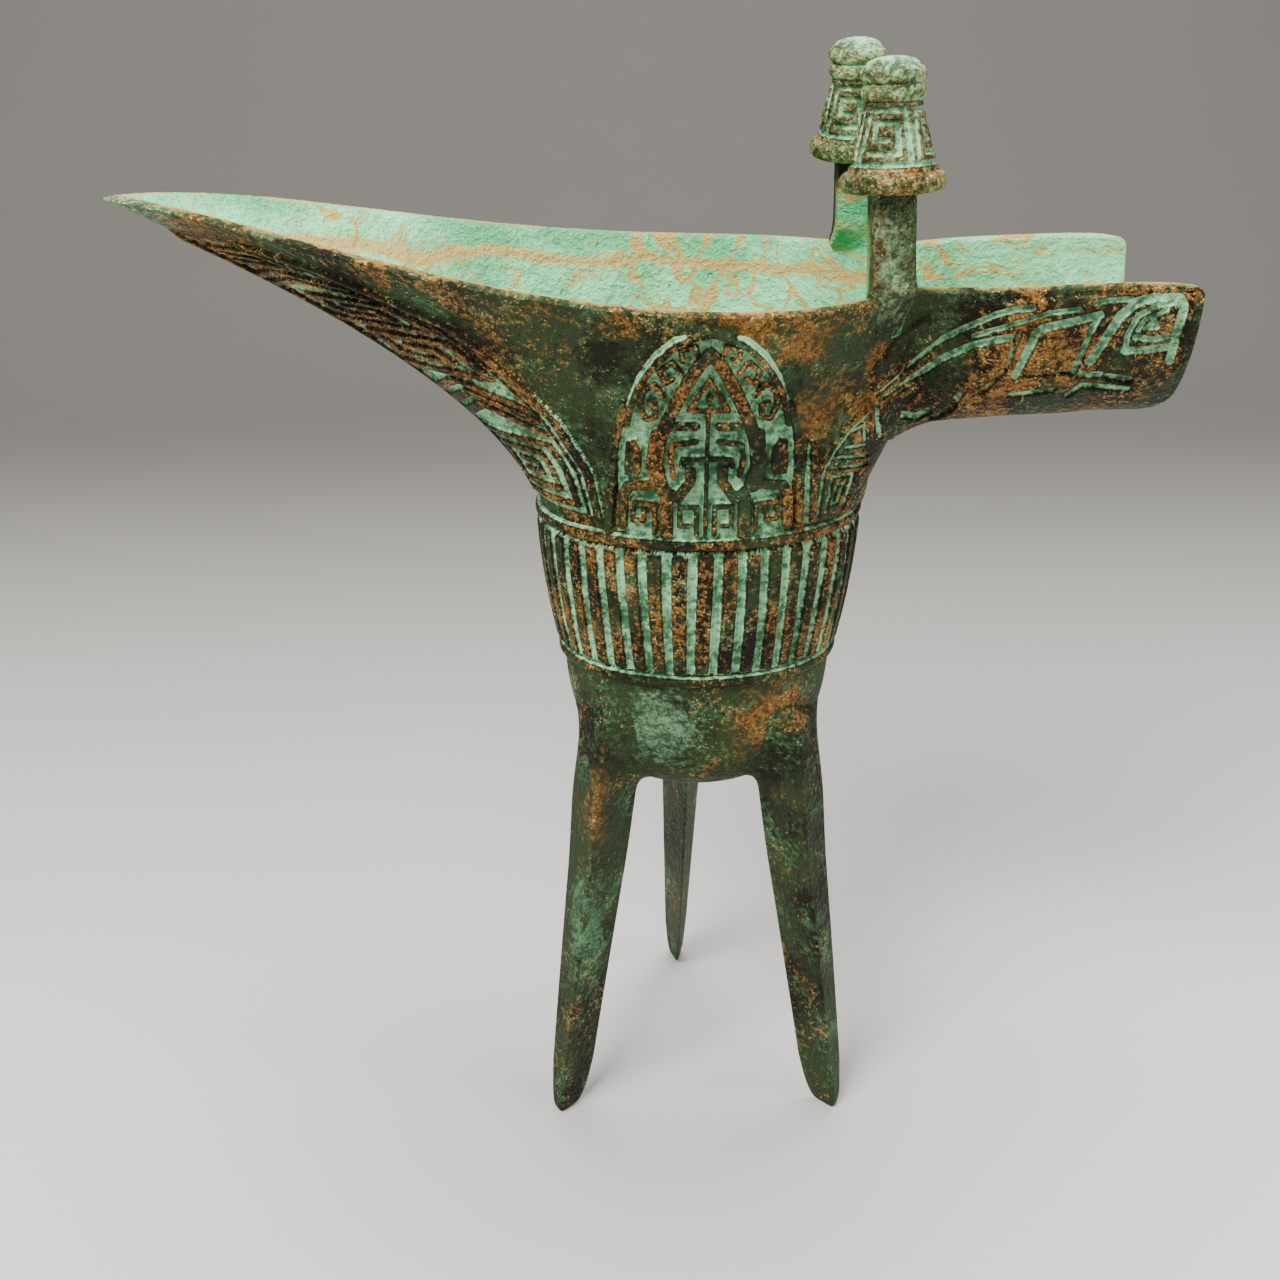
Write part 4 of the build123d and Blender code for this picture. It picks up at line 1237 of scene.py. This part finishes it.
# Drawing of the leaf under the tail: units across from keel to border, and millimetres along
TAIL_LINES = [
    (0.42, [(13.3, 0), (13.3, 48)]),
    (0.16, [(12.2, 0), (12.2, 48)]),
    (0.45, [(0.4, 0), (0.4, 48)]),
    (0.36, [(2, 1.2), (11, 1.2), (11, 9.2), (2, 9.2), (2, 1.2)]),
    (0.36, [(3.7, 2.8), (9.3, 2.8), (9.3, 7.6), (3.7, 7.6), (3.7, 2.8)]),
    (0.36, [(5.4, 4.5), (7.6, 4.5), (7.6, 6.0), (5.6, 6.0)]),
    (0.45, [(1.5, 11), (6.5, 14), (11.4, 11)]),
    (0.45, [(1.5, 13), (6.5, 16), (11.4, 13)]),
    (0.45, [(1.5, 15), (6.5, 18), (11.4, 15)]),
    (0.42, [(2, 19.5), (11, 19.5), (11, 25.5), (3.5, 25.5), (3.5, 21.5), (8.6, 21.5), (8.6, 23.6),
            (5.8, 23.6)]),
    (0.42, [(2, 27.6), (11, 27.6), (11, 33), (3.5, 33), (3.5, 29.4), (8.6, 29.4), (8.6, 31.2),
            (5.8, 31.2)]),
    (0.42, [(1.5, 35), (6.5, 37.4), (11.4, 35)]),
    (0.42, [(1.5, 37), (6.5, 39.4), (11.4, 37)]),
    (0.40, [(3, 41), (10.8, 41), (10.8, 45), (4, 45), (4, 43), (8, 43)]),
]

# Border of that leaf: heights, and how far along the tail it lies there
TAIL_BORDER = (
    (79.0, 84.3, 90, 94.8, 99.7, 102, 105, 106.6, 108.0),
    (-10.2, -11.2, -14.4, -18.9, -24.3, -30, -37.8, -43.7, -50.0),
)


class JUE_OT_tail_leaves(JueStep):
    """Leaf-shaped relief on both flanks of the tail: skins from keel to border with drawn ridges."""
    bl_idname = "jue.tail_leaves"
    bl_label = "Tail leaves"

    def execute(self, context):
        relief = context.scene.jue_sizes.relief / MM
        share, z = np.meshgrid(np.linspace(0.02, 1, 130), np.linspace(*TAIL_LEAF_Z, 330))
        border = level_angle(np.interp(z, *TAIL_BORDER), z)
        wall = level_point(-np.pi / 2 + share * (border + np.pi / 2), z, 0)
        run = np.linalg.norm(np.diff(wall, axis=0), axis=-1).mean(axis=1)
        q = np.concatenate([[0], np.cumsum(run)])[:, None] + 0 * share
        across = np.cumsum(np.linalg.norm(np.diff(wall, axis=1), axis=-1), axis=1)
        across = np.concatenate([np.zeros((len(z), 1)), across], axis=1)
        p = across / across[:, -1:] * TAIL_LEAF_UNITS
        ridge = drawn(p, q, [(TAIL_STROKE * half, line) for half, line in TAIL_LINES], 0.3)
        fade = smooth((q.max() - q) / 3.0)
        pale = fade * (1 - 0.55 * smooth((q - 12.0) / 14.0))
        height = FLOOR_LEVEL + (relief - FLOOR_LEVEL) * ridge * fade
        relief_pair(("near_tail_leaf", "tail_plaque_near"), ("far_tail_leaf", "tail_plaque_far"),
                    (wall, height, (-0.3, -1, -0.5), (1 - ridge) * pale))
        return {"FINISHED"}


# Drawing on the flank of the spout: millimetres along and millimetres up
SPOUT_PLATE = [
    (20.0, 98.9), (23.0, 100.4), (26.0, 101.6), (30.0, 102.3), (38.0, 102.7), (47.5, 103.0), (47.7, 95.0),
    (45.5, 90.4), (38.0, 88.6), (30.0, 88.0), (24.5, 87.2), (20.0, 84.6),
]
SPOUT_GROOVES = [
    (0.18, [(17.3, 92.1), (21.2, 94.7), (23.9, 97.8)]),
    (0.26, [(23.9, 97.8), (26.1, 99.5), (28.2, 100.8), (30.0, 101.4), (31.7, 101.5)]),
    (0.22, [(20.3, 92.4), (22.5, 93.8)]),
    (0.30, [(22.5, 93.8), (24.6, 95.9), (26.6, 97.4), (28.6, 98.2), (29.9, 98.5)]),
    (0.20, [(26.6, 98.4), (27.9, 99.1), (30.6, 100.1), (33.5, 101.0), (36.3, 101.3)]),
    (0.24, [(37.8, 101.9), (38.7, 102.1), (41.3, 102.3)]),
    (0.34, [(31.2, 94.2), (31.7, 96.4), (32.3, 98.6), (32.9, 99.4), (35.6, 100.0), (38.4, 100.7)]),
    (0.24, [(38.4, 100.7), (37.9, 99.4), (37.2, 96.4), (37.0, 94.6)]),
    (0.40, [(38.4, 95.8), (39.4, 98.3), (40.4, 100.6), (41.9, 102.0), (44.0, 102.5), (45.7, 102.5),
            (46.4, 101.6)]),
    (0.22, [(41.6, 96.9), (41.5, 98.8), (42.1, 100.6), (43.9, 101.6), (45.6, 101.9)]),
    (0.34, [(41.6, 96.9), (43.9, 97.0), (46.1, 97.3)]),
    (0.36, [(46.5, 101.1), (46.3, 98.5), (46.4, 95.7)]),
    (0.24, [(42.3, 98.4), (44.1, 98.1), (45.5, 98.5)]),
    (0.18, [(42.4, 99.1), (42.9, 100.2), (44.1, 100.7), (44.9, 101.2)]),
    (0.18, [(43.1, 99.3), (43.9, 100.1), (44.3, 99.4), (43.1, 99.3)]),
    (0.22, [(31.3, 91.8), (33.3, 92.1), (35.5, 92.4)]),
    (0.22, [(37.3, 91.7), (38.2, 93.0), (40.3, 92.8), (43.2, 92.4)]),
    (0.28, [(37.8, 94.3), (39.8, 94.2)]),
    (0.36, [(21.1, 88.5), (22.9, 88.2), (23.8, 89.0)]),
]
SPOUT_SHADOWS = [
    (0.40, [(24.6, 88.0), (26.0, 89.3), (26.5, 91.6)]),
    (0.28, [(28.5, 92.1), (29.5, 94.1), (30.3, 95.4), (30.3, 97.3), (30.8, 98.9)]),
    (0.20, [(31.7, 94.2), (37.0, 94.5)]),
    (0.40, [(40.5, 94.0), (43.0, 93.5)]),
]


class JUE_OT_spout_leaves(JueStep):
    """Relief on both flanks of the spout: skins raised to a plate and cut by drawn grooves."""
    bl_idname = "jue.spout_leaves"
    bl_label = "Spout leaves"

    def execute(self, context):
        relief = context.scene.jue_sizes.relief / MM
        along = np.linspace(0.004, 0.985, 280)[:, None]
        depth = np.sin(np.linspace(0.03, np.pi / 2 - 0.03, 150))[None, :]
        wall = spout_wall(-1, depth, along, 0)
        p, q = wall[..., 0], wall[..., 2]
        plate = filled(p, q, SPOUT_PLATE, 0.6)
        pale = drawn(p, q, [(SPOUT_STROKE * half, line) for half, line in SPOUT_GROOVES], 0.34)
        groove = np.maximum(pale, drawn(p, q, SPOUT_SHADOWS, 0.3)) * plate
        height = EDGE_LEVEL + (relief - EDGE_LEVEL) * plate * (1 - groove * 0.9)
        relief_pair(("near_spout_leaf", "spout_plaque_near"), ("far_spout_leaf", "spout_plaque_far"),
                    (wall, height, (0, -1, -0.3), np.maximum(pale * plate, 0.45 * groove)))
        return {"FINISHED"}


# Soft lights: place and size in metres, power in watts and colour
LIGHTS = (
    ("key_light", (-0.30, -0.40, 0.70), 0.35, 13.0, (1.0, 0.98, 0.94)),
    ("fill_light", (0.55, -0.35, 0.40), 0.5, 3.0, (0.97, 0.98, 1.0)),
    ("top_light", (0.05, 0.15, 0.75), 0.5, 10.0, (1.0, 1.0, 0.98)),
)


def paper_sweep(scene):
    """Pale paper that lies flat under the cup and rises behind it in an eased curve, with painted shade that
    darkens it towards the back.
    """
    rows = np.linspace(0, 1, 60)
    x = np.linspace(-SWEEP_HALF, SWEEP_HALF, 9)
    y = np.interp(rows, (0, SWEEP_BEND, 0.75, 1), (-SWEEP_HALF, 0.25, 0.62, 0.66))
    z = SWEEP_HEIGHT * smooth((rows - SWEEP_BEND) / (1 - SWEEP_BEND)) ** 1.5
    points = np.stack(np.broadcast_arrays(x[None, :], y[:, None], z[:, None]), axis=-1)
    mesh = bpy.data.meshes.new("paper_sweep")
    mesh.from_pydata(points.reshape(-1, 3), [], quads(len(rows), len(x)))
    mesh.polygons.foreach_set("use_smooth", np.ones(len(mesh.polygons), bool))
    paper = Finish("pale_paper")
    tooth = paper.noise(60.0, 3.0)
    # Painted shade: the paper darkens from front to back along the sweep
    back = paper.node("ShaderNodeSeparateXYZ", {}, {0: paper.place}, "Y").step(-0.10, 0.30)
    grey = paper.mix(back, PAPER_FRONT, PAPER_BACK_SHADE)
    mesh.materials.append(paper.surface(grey, 0.75 + tooth * 0.1, 0.0, tooth, 0.0001))
    sweep = bpy.data.objects.new("paper_sweep", mesh)
    scene.collection.objects.link(sweep)


class JUE_OT_stage(JueStep):
    """Pale paper sweep, soft lights and the camera at the viewing angle."""
    bl_idname = "jue.stage"
    bl_label = "Stage"

    def execute(self, context):
        scene = context.scene
        paper_sweep(scene)
        for name, place, size, power, tint in LIGHTS:
            lamp = bpy.data.lights.new(name, "AREA")
            lamp.size = size
            lamp.energy = power
            lamp.color = tint
            light = bpy.data.objects.new(name, lamp)
            light.location = place
            light.rotation_euler = (Vector(LIGHT_AIM) - Vector(place)).to_track_quat("-Z", "Y").to_euler()
            scene.collection.objects.link(light)
        scene.world = bpy.data.worlds.new("soft_room")
        scene.world.use_nodes = True
        room = scene.world.node_tree.nodes["Background"].inputs
        room["Color"].default_value = ROOM_COLOUR
        room["Strength"].default_value = ROOM_STRENGTH
        view = bpy.data.cameras.new("camera")
        view.sensor_width = CAMERA_SENSOR
        view.lens = CAMERA_LENS
        pitch, yaw, roll = np.radians(CAMERA_TURN)
        ahead = Vector((np.sin(yaw) * np.cos(pitch), np.cos(yaw) * np.cos(pitch), -np.sin(pitch)))
        right = Vector((np.cos(yaw), -np.sin(yaw), 0))
        up = right.cross(ahead)
        right, up = right * np.cos(roll) + up * np.sin(roll), up * np.cos(roll) - right * np.sin(roll)
        turned = Matrix((right, up, -ahead)).transposed().to_4x4()
        scene.camera = bpy.data.objects.new("camera", view)
        scene.camera.matrix_world = Matrix.Translation(Vector(CAMERA_PLACE) * MM) @ turned
        scene.collection.objects.link(scene.camera)
        return {"FINISHED"}


class JUE_PT_steps(bpy.types.Panel):
    """Lists sizes, colours and steps in the sidebar."""
    bl_label = "Bronze Jue"
    bl_idname = "JUE_PT_steps"
    bl_space_type = "VIEW_3D"
    bl_region_type = "UI"
    bl_category = "Jue"

    def draw(self, context):
        for kind, settings in ((JueSizes, context.scene.jue_sizes), (JueFinish, context.scene.jue_finish)):
            for name in kind.__annotations__:
                self.layout.prop(settings, name)
        for step in STEPS:
            self.layout.operator(step.bl_idname)


STEPS = (
    JUE_OT_bowl, JUE_OT_mouth, JUE_OT_spout, JUE_OT_legs, JUE_OT_posts, JUE_OT_caps, JUE_OT_handle,
    JUE_OT_head, JUE_OT_beads, JUE_OT_ribs, JUE_OT_mask, JUE_OT_corners, JUE_OT_tail_leaves,
    JUE_OT_spout_leaves, JUE_OT_stage,
)
CLASSES = (JueSizes, JueFinish, *STEPS, JUE_PT_steps)


def register():
    """Makes the classes known and gives the scene its settings."""
    for kind in CLASSES:
        bpy.utils.register_class(kind)
    bpy.types.Scene.jue_sizes = PointerProperty(type=JueSizes)
    bpy.types.Scene.jue_finish = PointerProperty(type=JueFinish)


def unregister():
    """Takes the settings and the classes away again."""
    del bpy.types.Scene.jue_finish
    del bpy.types.Scene.jue_sizes
    for kind in reversed(CLASSES):
        bpy.utils.unregister_class(kind)


def main():
    """Registers the add-on and runs its steps in order."""
    register()
    for step in STEPS:
        group, name = step.bl_idname.split(".")
        getattr(getattr(bpy.ops, group), name)()


if __name__ == "__main__":
    main()
